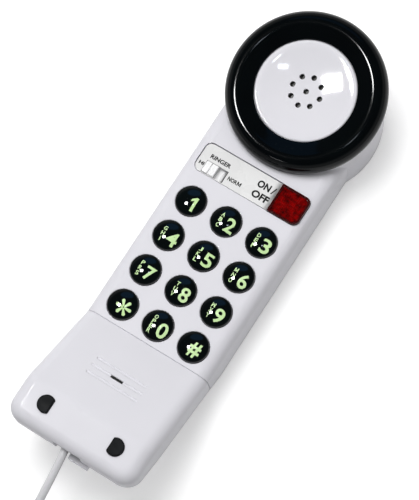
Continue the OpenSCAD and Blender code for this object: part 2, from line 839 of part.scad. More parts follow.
module filter_capacitors() {
  can_pitch = 8;
  color("navy")
    for (k = [-1 : 1])
      translate([14, -2 + k * can_pitch, main_top]) cylinder(d = 6, h = 6.5);
}
module dialer_chip() {
  chip = [6.4, 19, 3.2];
  lead = [1.4, 0.6, 1.4];
  lead_pitch = 2.54;
  lead_out = 0.6;
  color("black")
    translate([-4, 4, main_top]) {
      translate([0, 0, 0.4]) cube(chip);
      for (k = [0 : 6])
        for (x = [-lead_out, chip[0] + lead_out - lead[0]])
          translate([x, 1 + k * lead_pitch, 0]) cube(lead);
    }
}
module board_ribbon() {
  rise = board_low - main_top;
  ribbon_w = 16;
  ribbon_t = 0.5;
  color("slategray")
    translate([-ribbon_w / 2, board_end - ribbon_w / 2, main_top + rise / 2])
      rotate([0, 90, 0]) difference() {
        cylinder(r = rise / 2, h = ribbon_w);
        translate([0, 0, -over]) cylinder(r = rise / 2 - ribbon_t, h = ribbon_w + 2 * over);
        translate([-rise, 0, -over]) cube([2 * rise, rise, ribbon_w + 2 * over]);
      }
}

module control_panel() {
  color(panel_grey)
    difference() {
      translate([0, 0, body_t - recess_t]) linear_extrude(panel_t) panel_outline(0);
      translate([0, 0, body_t - recess_t - over]) linear_extrude(panel_t + 2 * over) window_outline();
    }
}
module ringer_knob() {
  reach = window_l - knob_l;
  top = body_t + knob_rise;
  color("white")
    translate([knob_mid_x, window_len, 0]) difference() {
      union() {
        translate([-knob_l / 2, -knob_w / 2, flange_low]) cube([knob_l, knob_w, top - flange_low]);
        translate([-knob_l / 2 - reach, -window_w / 2 - 1, flange_low])
          cube([knob_l + 2 * reach, window_w + 2, flange_t]);
        translate([-stem_w / 2, -stem_w / 2, main_top + ringer_switch_h - 2])
          cube([stem_w, stem_w, flange_low - main_top - ringer_switch_h + 2]);
      }
      for (k = [-2 : 2])
        translate([k * 2 * rib_w - rib_w / 2, -knob_w, top - 0.4]) cube([rib_w, 2 * knob_w, 1]);
    }
}
module ringer_switch() {
  slot_l = stem_w + knob_travel + 4 * gap;
  color("dimgray")
    translate([knob_mid_x - stem_w / 2 - 2 * gap, window_len, main_top]) difference() {
      translate([-3.5, -ringer_switch_w / 2, 0]) cube([slot_l + 7, ringer_switch_w, ringer_switch_h]);
      translate([0, -stem_w / 2 - gap, ringer_switch_h - 2.3]) cube([slot_l, stem_w + 2 * gap, 3]);
    }
}
module on_off_button() {
  top = body_t + button_rise;
  color(lens_red)
    difference() {
      union() {
        translate([0, 0, flange_low]) linear_extrude(top - flange_low) button_outline(0);
        translate([0, 0, flange_low]) linear_extrude(flange_t) button_outline(flange_out);
      }
      // Recessed lens inside a raised frame
      translate([0, 0, top - 0.5]) linear_extrude(1) button_outline(-bevel);
    }
}
module at_button() {
  translate([button_mid_x, panel_len, 0]) children();
}
module on_off_plunger() {
  color("white")
    at_button() translate([0, 0, main_top + switch_h - plunger_reach])
      cylinder(r = plunger_r, h = flange_low - main_top - switch_h + plunger_reach);
}
module on_off_spring() {
  color(steel)
    at_button() translate([0, 0, main_top + switch_h]) difference() {
      cylinder(r = plunger_r + 1.2, h = flange_low - main_top - switch_h);
      translate([0, 0, -over]) cylinder(r = plunger_r + 0.6, h = flange_low);
    }
}
module on_off_switch() {
  color("dimgray")
    at_button() difference() {
      translate([-switch_w / 2, -switch_w / 2, main_top]) cube([switch_w, switch_w, switch_h]);
      translate([0, 0, main_top + switch_h - plunger_reach - button_travel - 0.3])
        cylinder(r = plunger_r + gap, h = switch_h);
    }
}

module ringer_disc() {
  color("goldenrod")
    translate([0, ear_len, wall + sounder_h]) cylinder(r = ringer_d / 2, h = sounder_t);
}
module case_screws() {
  color(steel)
    at_case_screws() {
      translate([0, 0, case_head_z]) cylinder(r = case_head_r, h = case_head_t);
      translate([0, 0, case_head_z + case_head_t - screw_lap])
        cylinder(r = case_screw_r - seat_gap, h = case_screw_l);
    }
}
module rest_pad() {
  color(gloss_black)
    translate([pad_gap / 2, -foot_len + pad_from_end, face_z(-foot_len) - pad_sink])
      linear_extrude(pad_sink + pad_rise) pad_outline(0);
}

module line_jack() {
  color(gloss_black)
    difference() {
      translate([-jack_w / 2, jack_front, jack_z - jack_h / 2]) cube([jack_w, jack_l - jack_in, jack_h]);
      translate([-plug_w / 2 - gap, jack_front - over, jack_z - plug_h / 2 - gap])
        cube([plug_w + 2 * gap, plug_back + plug_l - jack_front + gap + over, plug_h + 2 * gap]);
      translate([-latch_w / 2 - gap, jack_front - over, jack_z - plug_h / 2 - latch_t - gap])
        cube([latch_w + 2 * gap, plug_back + plug_l - jack_front + gap + over, latch_t + 2 * gap]);
    }
}
// Modular plug with its back at the origin, its nose towards +Y and its latch below
module plug_body() {
  difference() {
    translate([-plug_w / 2, 0, -plug_h / 2]) cube([plug_w, plug_l, plug_h]);
    plug_blades(0.05);
  }
  translate([-latch_w / 2, 2, -plug_h / 2 - latch_t]) cube([latch_w, plug_l - 3, latch_t]);
}
module plug_blades(out) {
  for (k = [-1.5 : 1 : 1.5])
    translate([k * contact_pitch - contact_t / 2 - out, plug_l - 4 - out, plug_h / 2 - 1.6 - out])
      cube([contact_t + 2 * out, 3 + 2 * out, 1.6 + 2 * out - 0.2]);
}
module at_far_plug() {
  end = TAIL_ROUTE[len(TAIL_ROUTE) - 1];
  translate([0, route_y, 0]) translate(end) rotate([0, 180, 0]) children();
}
module near_plug() {
  color([0.85, 0.85, 0.85]) translate([0, plug_back, jack_z]) plug_body();
}
module far_plug() {
  color([0.85, 0.85, 0.85]) at_far_plug() plug_body();
}
module plug_contacts() {
  color("gold") {
    translate([0, plug_back, jack_z]) plug_blades(0);
    at_far_plug() plug_blades(0);
  }
}

// Leads inside the handset, two wires each, in one smooth curve from a point to the board
function curve_point(a, b, c, d, t) =
  a * (1 - t) ^ 3 + 3 * b * t * (1 - t) ^ 2 + 3 * c * t ^ 2 * (1 - t) + d * t ^ 3;
function wire_route(start, out, end, in) =
  let (drop = end + [0, 0, wire_drop])
  concat([for (k = [0 : 8]) curve_point(start, start + out, drop + in, drop, k / 8)], [end]);
module wire_pair(route) {
  both_sides() tube(route, wire_d, 6);
}
module receiver_wires() {
  low = ear_h + receiver_low_h * cos(ear_tilt);
  back = ear_len - receiver_low_h * sin(ear_tilt);
  end = main_board_end - wire_end_in;
  color("firebrick")
    wire_pair(wire_route(
      [receiver_wire_x, back, low - wire_d / 2 - seat_gap], [0, -1, -(low - main_top) / 2],
      [receiver_wire_x, end, main_top + seat_gap], [0, (back - end) / 3, 0]
    ));
}
module mic_wires() {
  reach = facet_in + seat_gap + boot_t + mic_h;
  top = face_z(-mic_len) - reach * cos(mouth_slope);
  back = -mic_len - reach * sin(mouth_slope);
  end = -main_board_start + wire_end_in / 2;
  color("gold")
    wire_pair(wire_route(
      [mic_wire_x, back, top - wire_d / 2 - seat_gap], [0, -1, -(top - main_top) / 3],
      [mic_wire_x, end, main_top + seat_gap], [0, (back - end) / 2, 0]
    ));
}
module jack_wires() {
  back = jack_front + jack_l - jack_in + wire_d / 2;
  side = jack_w / 2 - jack_wire_in;
  low = jack_z - jack_h / 2 + jack_wire_in;
  end = -main_board_start + wire_end_in / 2;
  span = end - back;
  color("olivedrab")
    wire_pair(wire_route(
      [side, back, low], [jack_wire_end_x - side, span / 4, -span / 7],
      [jack_wire_end_x, end, main_top + seat_gap], [0, -span / 2, 0]
    ));
}

// The line cord outside the handset
module at_route() {
  translate([0, route_y, 0]) children();
}
module cord_lead() {
  color(cord_grey) at_route() tube(LEAD_ROUTE, cord_d, 8);
}
module cord_coil() {
  color(cord_grey) at_route() tube(COIL_PATH, cord_d, 6);
}
module cord_tail() {
  color(cord_grey) at_route() tube(TAIL_ROUTE, cord_d, 8);
}
module cord_tie() {
  tie_w = 5;
  tie_t = 0.6;
  outer = coil_r + cord_r + 0.3;
  inner = coil_r - coil_pitch * layer_turns - cord_r - 0.9;
  top = coil_floor + 3 * coil_pitch + cord_r + 0.3;
  color("dimgray")
    at_route() translate([coil_mid[0] - tie_w / 2, coil_mid[1] - outer, 0]) difference() {
      translate([0, -tie_t, 0]) cube([tie_w, outer - inner + 2 * tie_t, top + tie_t]);
      translate([-over, 0, tie_t]) cube([tie_w + 2 * over, outer - inner, top - tie_t]);
    }
}

module placed() {
  translate([0, -mid_y, 0]) children();
}

placed() front_shell();
placed() rear_cover();
placed() earpiece_ring();
placed() ring_screws();
placed() earpiece_cap();
placed() receiver_gasket();
placed() receiver_diaphragm();
placed() receiver_frame();
placed() receiver_magnet();
placed() receiver_wires();
placed() mic_boot();
placed() mic_capsule();
placed() mic_wires();
placed() key(0, 0);  // key_1
placed() key(1, 0);  // key_2
placed() key(2, 0);  // key_3
placed() key(0, 1);  // key_4
placed() key(1, 1);  // key_5
placed() key(2, 1);  // key_6
placed() key(0, 2);  // key_7
placed() key(1, 2);  // key_8
placed() key(2, 2);  // key_9
placed() key(0, 3);  // key_star
placed() key(1, 3);  // key_0
placed() key(2, 3);  // key_hash
placed() keypad_mat();
placed() keypad_board();
placed() main_board();
placed() line_transformer();
placed() filter_capacitors();
placed() dialer_chip();
placed() board_ribbon();
placed() board_screws();
placed() control_panel();
placed() ringer_knob();
placed() ringer_switch();
placed() on_off_button();
placed() on_off_plunger();
placed() on_off_spring();
placed() on_off_switch();
placed() ringer_disc();
placed() case_screws();
placed() mirror([1, 0, 0]) rest_pad();  // rest_pad_left
placed() rest_pad();  // rest_pad_right
placed() line_jack();
placed() jack_wires();
placed() near_plug();
placed() plug_contacts();
placed() cord_lead();
placed() cord_coil();
placed() cord_tail();
placed() cord_tie();
placed() far_plug();
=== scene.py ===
import math

import bmesh
import bpy
from mathutils import Matrix, Vector


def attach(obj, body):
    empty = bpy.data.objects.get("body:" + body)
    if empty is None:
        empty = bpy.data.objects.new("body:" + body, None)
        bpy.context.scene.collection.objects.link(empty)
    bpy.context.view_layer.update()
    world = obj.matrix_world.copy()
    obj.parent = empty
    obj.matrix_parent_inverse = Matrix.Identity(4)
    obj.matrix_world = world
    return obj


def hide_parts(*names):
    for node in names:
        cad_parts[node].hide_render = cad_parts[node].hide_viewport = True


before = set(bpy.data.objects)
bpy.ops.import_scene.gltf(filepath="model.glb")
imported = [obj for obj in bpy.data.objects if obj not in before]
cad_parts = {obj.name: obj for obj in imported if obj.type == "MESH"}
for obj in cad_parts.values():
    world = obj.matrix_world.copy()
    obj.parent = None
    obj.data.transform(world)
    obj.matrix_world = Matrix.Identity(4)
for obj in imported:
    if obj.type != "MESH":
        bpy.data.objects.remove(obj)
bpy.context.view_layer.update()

# Slimline one-piece telephone, lying on its flat back.
# Pieces are shaped in millimetres round the keypad's middle, then settled into the part's frame in metres.
MM = 0.001
KEYPAD_Y = -18.0  # the keypad's middle in the part's frame

# Driving sizes, in millimetres. Lengths run from the keypad's middle, heights from the flat back.
HALF_WIDTH = 32.5
FACE = 25.5
WALL = 2.2
KEY_PITCH = 19.05
KEY_R = 7.3
FIT_GAP = 0.2
NECK_END = 85.2
HEAD_Y, HEAD_R = 94.5, 36.5
EAR_Y, EAR_Z = 98.2, 33.3
TILT = math.radians(9.4)
RING_R = 36.98
RING_SEAT = -3.2  # on the earpiece's own axis
MOUTH_START, MOUTH_END = -38.3, -80
MOUTH_RISE = 19.5
FOOT_END = -99.6
MIC_AT = 60.2  # below the keypad's middle
BACK_START = -30
BACK_SLOPE = math.radians(23.3)
PARTING = 5
PANEL_LOW, PANEL_HIGH = (-27.4, 42.8), (12.4, 57.2)
BUTTON_LOW, BUTTON_HIGH = (12.9, 42.7), (28.5, 57.3)
KNOB_WINDOW = ((-23.4, 43.1, 20), (-11.8, 49.3, 27))

# The earpiece's own axes: its middle, square to the tilted top of the head
EAR = Matrix.Translation((0, EAR_Y, EAR_Z)) @ Matrix.Rotation(TILT, 4, "X")


# ---------------------------------------------------------------- camera, studio and light
def set_camera():
    """A long lens, turned by its own three axes."""
    right = Vector((0.83816422, 0.53825816, -0.08808457))
    up = Vector((-0.49836182, 0.82142046, 0.27731557))
    back = Vector((0.22162184, -0.188538, 0.95673255))
    turn = Matrix((right, up, back)).transposed().to_4x4()
    bpy.ops.object.camera_add()
    camera = bpy.context.object
    camera.name = "studio_camera"
    camera.matrix_world = Matrix.Translation((0.23187, -0.20124, 1.02346)) @ turn
    camera.data.lens = 165.6
    camera.data.sensor_width = 36
    camera.data.clip_start = 0.05
    camera.data.clip_end = 20
    bpy.context.scene.camera = camera


def softbox(name, place_at, target, size, power, color=(1, 1, 1), shape="RECTANGLE", roll=0):
    """A lamp behind a soft panel, pointed at a spot, itself out of the picture."""
    bpy.ops.object.select_all(action="DESELECT")
    aim = (Vector(target) - Vector(place_at)).to_track_quat("-Z", "Y").to_matrix()
    aim = aim @ Matrix.Rotation(math.radians(roll), 3, "Z")
    bpy.ops.object.light_add(type="AREA", location=place_at, rotation=aim.to_euler())
    lamp = bpy.context.object
    lamp.name = name
    lamp.data.shape = shape
    lamp.data.size, lamp.data.size_y = size
    lamp.data.energy = power
    lamp.data.color = color
    lamp.visible_camera = False
    return lamp


def add_node(nodes, kind, values=None, **settings):
    """Adds a shader node with its settings, and plain values on its inputs."""
    node = nodes.new("ShaderNode" + kind)
    for name, setting in settings.items():
        setattr(node, name, setting)
    for name, value in (values or {}).items():
        node.inputs[name].default_value = value
    return node


def add_sight(nodes, links):
    """Nodes that give 1 where a thing is seen, mirrored or seen through glass, and otherwise 0."""
    path = add_node(nodes, "LightPath")
    mirrored = add_node(nodes, "Math", operation="MAXIMUM")
    any_sight = add_node(nodes, "Math", operation="MAXIMUM")
    links.new(path.outputs["Is Glossy Ray"], mirrored.inputs[0])
    links.new(path.outputs["Is Transmission Ray"], mirrored.inputs[1])
    links.new(mirrored.outputs["Value"], any_sight.inputs[0])
    links.new(path.outputs["Is Camera Ray"], any_sight.inputs[1])
    return path, any_sight


def set_floor():
    """A plain pale floor. What is seen of it is lifted to white, and its shadow stays."""
    bpy.ops.object.select_all(action="DESELECT")
    bpy.ops.mesh.primitive_plane_add(size=6, location=(0, 0, 0))
    floor = bpy.context.object
    floor.name = "studio_floor"
    paper = bpy.data.materials.new("white_paper")
    paper.use_nodes = True
    nodes, links = paper.node_tree.nodes, paper.node_tree.links
    shader = nodes["Principled BSDF"]
    shader.inputs["Base Color"].default_value = (0.82, 0.82, 0.82, 1)
    shader.inputs["Roughness"].default_value = 1
    shader.inputs["Specular IOR Level"].default_value = 0
    shader.inputs["Emission Color"].default_value = (1, 1, 1, 1)
    _, any_sight = add_sight(nodes, links)
    lift = add_node(nodes, "Math", operation="MULTIPLY")
    lift.inputs[1].default_value = 0.33
    links.new(any_sight.outputs["Value"], lift.inputs[0])
    links.new(lift.outputs["Value"], shader.inputs["Emission Strength"])
    floor.data.materials.append(paper)


def set_sky():
    """Even soft light. It is seen as white, and mirrored as light low down and dark overhead."""
    world = bpy.data.worlds.new("studio_air")
    world.use_nodes = True
    bpy.context.scene.world = world
    nodes, links = world.node_tree.nodes, world.node_tree.links
    even = nodes["Background"]
    even.inputs["Color"].default_value = (1, 1, 1, 1)
    seen = add_node(nodes, "Background", {"Color": (1, 1, 1, 1)})
    direction = add_node(nodes, "TexCoord")
    axes = add_node(nodes, "SeparateXYZ")
    fade_ends = {"From Min": 0.3, "From Max": 0.62, "To Min": 0.45, "To Max": 0.03}
    fade = add_node(nodes, "MapRange", fade_ends, interpolation_type="SMOOTHSTEP")
    dome = add_node(nodes, "MapRange", {"To Min": 0.05, "To Max": 0.64})
    links.new(direction.outputs["Generated"], axes.inputs["Vector"])
    links.new(axes.outputs["Z"], dome.inputs["Value"])
    links.new(axes.outputs["Z"], fade.inputs["Value"])
    links.new(dome.outputs["Result"], even.inputs["Strength"])
    path, any_sight = add_sight(nodes, links)
    white_or_fade = add_node(nodes, "Math", operation="MAXIMUM")
    links.new(path.outputs["Is Camera Ray"], white_or_fade.inputs[0])
    links.new(fade.outputs["Result"], white_or_fade.inputs[1])
    links.new(white_or_fade.outputs["Value"], seen.inputs["Strength"])
    mix = add_node(nodes, "MixShader")
    links.new(any_sight.outputs["Value"], mix.inputs["Fac"])
    links.new(even.outputs["Background"], mix.inputs[1])
    links.new(seen.outputs["Background"], mix.inputs[2])
    links.new(mix.outputs["Shader"], nodes["World Output"].inputs["Surface"])
    bpy.context.scene.view_settings.view_transform = "Standard"


set_camera()
set_floor()
set_sky()
MIDDLE = (0, 0, 0.03)
broad = softbox("broad_softbox", (-0.36, 0.24, 1.25), MIDDLE, (0.7, 0.7), 13.3)
broad.visible_glossy = False
# These four only show as highlights in the glossy parts
highlights = [
    softbox("main_softbox", (-0.257, -0.052, 0.69), MIDDLE, (0.088, 0.096), 2.8, roll=20),
    softbox("overhead_softbox", (0.008, 0.018, 0.52), MIDDLE, (0.03, 0.015), 0.04, (0.8, 0.9, 1.0), roll=60),
    softbox("blue_panel", (-0.3, 0.62, 0.78), MIDDLE, (0.7, 0.4), 0.17, (0.12, 0.45, 1.0), "ELLIPSE"),
    softbox("front_strip", (-0.08, -0.72, 0.62), MIDDLE, (0.16, 0.04), 0.2),
]
for lamp in highlights:
    lamp.visible_diffuse = False


# ---------------------------------------------------------------- hand tools
def only(piece):
    """Selects one piece alone."""
    bpy.ops.object.select_all(action="DESELECT")
    piece.select_set(True)
    bpy.context.view_layer.objects.active = piece
    return piece


def bench(piece, element="VERT"):
    """Opens a piece in edit mode with nothing selected."""
    only(piece)
    bpy.ops.object.mode_set(mode="EDIT")
    bpy.ops.mesh.select_mode(type=element)
    bpy.ops.mesh.select_all(action="DESELECT")


def put_down():
    """Leaves edit mode."""
    bpy.ops.object.mode_set(mode="OBJECT")


def pick(piece, element, test):
    """Selects the vertices, edges or faces that pass a test. Returns how many."""
    bench(piece, element)
    mesh = bmesh.from_edit_mesh(piece.data)
    parts = {"VERT": mesh.verts, "EDGE": mesh.edges, "FACE": mesh.faces}[element]
    count = 0
    for part in parts:
        if test(part):
            part.select_set(True)
            count += 1
    bmesh.update_edit_mesh(piece.data)
    return count


def shift(piece, test, by):
    """Moves the vertices that pass a test."""
    pick(piece, "VERT", test)
    bpy.ops.transform.translate(value=by)
    put_down()


def soften(piece, test, width, steps=2):
    """Rounds the edges that pass a test."""
    if pick(piece, "EDGE", test):
        bpy.ops.mesh.bevel(offset=width, segments=steps, affect="EDGES", clamp_overlap=False)
    put_down()


def slice_at(piece, point, normal):
    """Cuts new edges where a plane crosses a piece."""
    bench(piece)
    bpy.ops.mesh.select_all(action="SELECT")
    bpy.ops.mesh.bisect(plane_co=point, plane_no=normal)
    put_down()


def block(name, low, high):
    """A box between two corners."""
    middle = [(a + b) / 2 for a, b in zip(low, high)]
    bpy.ops.mesh.primitive_cube_add(size=1, location=middle)
    piece = bpy.context.object
    piece.name = name
    piece.scale = [b - a for a, b in zip(low, high)]
    bpy.ops.object.transform_apply(location=True, rotation=True, scale=True)
    return piece


def rod(name, radius, low, high, at=(0, 0), sides=64):
    """An upright cylinder between two heights."""
    bpy.ops.mesh.primitive_cylinder_add(
        vertices=sides, radius=radius, depth=high - low, location=(at[0], at[1], (low + high) / 2)
    )
    piece = bpy.context.object
    piece.name = name
    bpy.ops.object.transform_apply(location=True, rotation=True, scale=True)
    return piece


def turn_on_lathe(name, profile, sides=96):
    """Spins a closed half section of (radius, height) points round the Z axis."""
    bpy.ops.mesh.primitive_plane_add(size=1, location=(0, 0, 0))
    piece = bpy.context.object
    piece.name = name
    bench(piece)
    bpy.ops.mesh.select_all(action="SELECT")
    bpy.ops.mesh.merge(type="CENTER")
    here = profile[0]
    bpy.ops.transform.translate(value=(here[0], 0, here[1]))
    closed = profile if profile[0][0] == profile[-1][0] == 0 else [*profile, profile[0]]
    for point in closed[1:]:
        step = (point[0] - here[0], 0, point[1] - here[1])
        bpy.ops.mesh.extrude_vertices_move(TRANSFORM_OT_translate={"value": step})
        here = point
    bpy.ops.mesh.select_all(action="SELECT")
    bpy.ops.mesh.spin(steps=sides, angle=math.tau, center=(0, 0, 0), axis=(0, 0, 1))
    bpy.ops.mesh.select_all(action="SELECT")
    bpy.ops.mesh.remove_doubles(threshold=0.0005)
    bpy.ops.mesh.normals_make_consistent(inside=False)
    put_down()
    return piece


def arc(middle, radius, start, end, steps):
    """Points on an arc of the half section, angles in degrees."""
    angles = [math.radians(start + (end - start) * k / steps) for k in range(steps + 1)]
    return [(middle[0] + radius * math.cos(a), middle[1] + radius * math.sin(a)) for a in angles]


def place(piece, matrix):
    """Turns and moves a piece, and keeps its object at the origin."""
    only(piece)
    piece.matrix_world = matrix @ piece.matrix_world
    bpy.ops.object.transform_apply(location=True, rotation=True, scale=True)
    return piece


def moved(piece, by):
    return place(piece, Matrix.Translation(by))


def join(name, pieces):
    """Makes one piece of several."""
    bpy.ops.object.select_all(action="DESELECT")
    for piece in pieces:
        piece.select_set(True)
    bpy.context.view_layer.objects.active = pieces[0]
    if len(pieces) > 1:
        bpy.ops.object.join()
    piece = bpy.context.object
    piece.name = name
    return piece


def copy_of(piece, name):
    """A copy with its own mesh."""
    only(piece)
    bpy.ops.object.duplicate()
    twin = bpy.context.object
    twin.name = name
    return twin


def carve(piece, tool, operation="DIFFERENCE", keep_tool=False):
    """Cuts a tool out of a piece, adds it, or keeps what both share."""
    only(piece)
    cut = piece.modifiers.new("cut", "BOOLEAN")
    cut.operation = operation
    cut.solver = "EXACT"
    cut.object = tool
    bpy.ops.object.modifier_apply(modifier=cut.name)
    if not keep_tool:
        bpy.data.objects.remove(tool)
    return piece


def mirror_of(piece, name):
    """A copy on the other side of the handset's middle."""
    twin = copy_of(piece, name)
    twin.scale = (-1, 1, 1)
    bpy.ops.object.transform_apply(location=True, rotation=True, scale=True)
    bench(twin)
    bpy.ops.mesh.select_all(action="SELECT")
    bpy.ops.mesh.normals_make_consistent(inside=False)
    put_down()
    return twin


def settle(piece, body, look, stands_for=(), angle=35, even=True):
    """Shades a finished piece, moves it into the part's frame and gives it its body and look."""
    only(piece)
    bpy.ops.object.shade_smooth_by_angle(angle=math.radians(angle))
    if even:
        even_out = piece.modifiers.new("even_shading", "WEIGHTED_NORMAL")
        even_out.keep_sharp = True
        bpy.ops.object.modifier_apply(modifier=even_out.name)
    piece.matrix_world = Matrix.Translation((0, KEYPAD_Y * MM, 0)) @ Matrix.Scale(MM, 4)
    bpy.ops.object.transform_apply(location=True, rotation=True, scale=True)
    piece.data.materials.clear()
    piece.data.materials.append(look)
    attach(piece, body)
    if stands_for:
        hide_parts(*stands_for)
    return piece


# ---------------------------------------------------------------- shared effects and looks
def effect(name, takes, gives):
    """An empty node group with its named inputs and outputs."""
    group = bpy.data.node_groups.new(name, "ShaderNodeTree")
    for label, kind, value in takes:
        socket = group.interface.new_socket(label, in_out="INPUT", socket_type=kind)
        socket.default_value = value
    for label, kind in gives:
        group.interface.new_socket(label, in_out="OUTPUT", socket_type=kind)
    return group, group.nodes.new("NodeGroupInput"), group.nodes.new("NodeGroupOutput")


def build_tint_drift():
    """Two close colours that wander into each other, in object space."""
    group, taken, given = effect(
        "tint_drift",
        [("Main", "NodeSocketColor", (1, 1, 1, 1)), ("Other", "NodeSocketColor", (1, 1, 1, 1)),
         ("Scale", "NodeSocketFloat", 40.0)],
        [("Color", "NodeSocketColor")],
    )
    nodes, links = group.nodes, group.links
    place_of = add_node(nodes, "TexCoord")
    noise = add_node(nodes, "TexNoise", {"Detail": 3})
    spread = add_node(nodes, "MapRange", {"From Min": 0.3, "From Max": 0.7})
    blend = add_node(nodes, "Mix", data_type="RGBA")
    links.new(place_of.outputs["Object"], noise.inputs["Vector"])
    links.new(taken.outputs["Scale"], noise.inputs["Scale"])
    links.new(noise.outputs["Fac"], spread.inputs["Value"])
    links.new(spread.outputs["Result"], blend.inputs["Factor"])
    links.new(taken.outputs["Main"], blend.inputs["A"])
    links.new(taken.outputs["Other"], blend.inputs["B"])
    links.new(blend.outputs["Result"], given.inputs["Color"])
    return group


def build_handled_haze():
    """Roughness that drifts between two values, as on handled plastic."""
    group, taken, given = effect(
        "handled_haze",
        [("Low", "NodeSocketFloat", 0.2), ("High", "NodeSocketFloat", 0.3),
         ("Scale", "NodeSocketFloat", 120.0)],
        [("Roughness", "NodeSocketFloat")],
    )
    nodes, links = group.nodes, group.links
    place_of = add_node(nodes, "TexCoord")
    noise = add_node(nodes, "TexNoise", {"Detail": 5, "Distortion": 0.6})
    spread = add_node(nodes, "MapRange", {"From Min": 0.35, "From Max": 0.65})
    links.new(place_of.outputs["Object"], noise.inputs["Vector"])
    links.new(taken.outputs["Scale"], noise.inputs["Scale"])
    links.new(noise.outputs["Fac"], spread.inputs["Value"])
    links.new(taken.outputs["Low"], spread.inputs["To Min"])
    links.new(taken.outputs["High"], spread.inputs["To Max"])
    links.new(spread.outputs["Result"], given.inputs["Roughness"])
    return group


def build_mould_grain():
    """Height of a moulded skin: a slow ripple under a fine grain."""
    group, taken, given = effect(
        "mould_grain",
        [("Ripple", "NodeSocketFloat", 0.4), ("Grain", "NodeSocketFloat", 0.2),
         ("Scale", "NodeSocketFloat", 1500.0)],
        [("Height", "NodeSocketFloat")],
    )
    nodes, links = group.nodes, group.links
    place_of = add_node(nodes, "TexCoord")
    slow = add_node(nodes, "TexNoise", {"Scale": 35, "Detail": 1})
    fine = add_node(nodes, "TexNoise", {"Detail": 4})
    slow_part = add_node(nodes, "Math", operation="MULTIPLY")
    fine_part = add_node(nodes, "Math", operation="MULTIPLY")
    total = add_node(nodes, "Math", operation="ADD")
    links.new(place_of.outputs["Object"], slow.inputs["Vector"])
    links.new(place_of.outputs["Object"], fine.inputs["Vector"])
    links.new(taken.outputs["Scale"], fine.inputs["Scale"])
    links.new(slow.outputs["Fac"], slow_part.inputs[0])
    links.new(taken.outputs["Ripple"], slow_part.inputs[1])
    links.new(fine.outputs["Fac"], fine_part.inputs[0])
    links.new(taken.outputs["Grain"], fine_part.inputs[1])
    links.new(slow_part.outputs["Value"], total.inputs[0])
    links.new(fine_part.outputs["Value"], total.inputs[1])
    links.new(total.outputs["Value"], given.inputs["Height"])
    return group


def build_painted_corner_shade():
    """Painted shade: grey that darkens a part towards one end, in patches, in object space."""
    group, taken, given = effect(
        "painted_corner_shade",
        [("Color", "NodeSocketColor", (1, 1, 1, 1)), ("Shade", "NodeSocketColor", (0.03, 0.03, 0.03, 1)),
         ("Start", "NodeSocketFloat", 0.0), ("End", "NodeSocketFloat", 0.01)],
        [("Color", "NodeSocketColor")],
    )
    nodes, links = group.nodes, group.links
    place_of = add_node(nodes, "TexCoord")
    axes = add_node(nodes, "SeparateXYZ")
    along = add_node(nodes, "MapRange", interpolation_type="SMOOTHSTEP")
    patches = add_node(nodes, "TexNoise", {"Scale": 260})
    amount = add_node(nodes, "Math", operation="MULTIPLY")
    blend = add_node(nodes, "Mix", data_type="RGBA")
    links.new(place_of.outputs["Object"], axes.inputs["Vector"])
    links.new(place_of.outputs["Object"], patches.inputs["Vector"])
    links.new(axes.outputs["X"], along.inputs["Value"])
    links.new(taken.outputs["Start"], along.inputs["From Min"])
    links.new(taken.outputs["End"], along.inputs["From Max"])
    links.new(along.outputs["Result"], amount.inputs[0])
    links.new(patches.outputs["Fac"], amount.inputs[1])
    links.new(amount.outputs["Value"], blend.inputs["Factor"])
    links.new(taken.outputs["Color"], blend.inputs["A"])
    links.new(taken.outputs["Shade"], blend.inputs["B"])
    links.new(blend.outputs["Result"], given.inputs["Color"])
    return group


TINT_DRIFT = build_tint_drift()
HANDLED_HAZE = build_handled_haze()
MOULD_GRAIN = build_mould_grain()
PAINTED_CORNER_SHADE = build_painted_corner_shade()


def look(name, main, other, haze, grain=(0.3, 0.1, 1500), depth=0.02, tint_scale=40, painted_shade_at=None, **plain):
    """A finish: two close colours, a roughness range, a grain, and plain values on the shader's sockets."""
    material = bpy.data.materials.new(name)
    material.use_nodes = True
    nodes, links = material.node_tree.nodes, material.node_tree.links
    shader = nodes["Principled BSDF"]
    tints = {"Main": (*main, 1), "Other": (*other, 1), "Scale": tint_scale}
    color = add_node(nodes, "Group", tints, node_tree=TINT_DRIFT).outputs["Color"]
    # Painted shade that darkens the colour towards one end of the part
    if painted_shade_at:
        ends = {"Start": painted_shade_at[0] * MM, "End": painted_shade_at[1] * MM}
        painted_shade = add_node(nodes, "Group", ends, node_tree=PAINTED_CORNER_SHADE)
        links.new(color, painted_shade.inputs["Color"])
        color = painted_shade.outputs["Color"]
    links.new(color, shader.inputs["Base Color"])
    rough = add_node(nodes, "Group", {"Low": haze[0], "High": haze[1]}, node_tree=HANDLED_HAZE)
    links.new(rough.outputs["Roughness"], shader.inputs["Roughness"])
    skin = add_node(nodes, "Group", dict(zip(("Ripple", "Grain", "Scale"), grain)), node_tree=MOULD_GRAIN)
    relief = add_node(nodes, "Bump", {"Strength": 1, "Distance": depth * MM})
    links.new(skin.outputs["Height"], relief.inputs["Height"])
    links.new(relief.outputs["Normal"], shader.inputs["Normal"])
    for label, value in plain.items():
        shader.inputs[label.replace("_", " ")].default_value = value
    return material


# Casings and earpiece
SHELL_WHITE = look(
    "shell_white", (0.68, 0.675, 0.715), (0.665, 0.66, 0.70), (0.30, 0.38), (0.25, 0.05, 1500), 0.012,
    Specular_IOR_Level=0.05, Coat_Weight=0.1, Coat_Roughness=0.05,
)
CAP_WHITE = look(
    "cap_white", (0.70, 0.695, 0.735), (0.69, 0.685, 0.725), (0.05, 0.08), (0.2, 0.03, 1500), 0.006,
    Coat_Weight=0.3, Coat_Roughness=0.03,
)
RING_BLACK = look(
    "ring_black", (0.0015, 0.0025, 0.003), (0.001, 0.0015, 0.002), (0.04, 0.07), (0.4, 0.03, 900), 0.008,
    Specular_IOR_Level=0.04, Coat_Weight=0.33, Coat_Roughness=0.1,
)

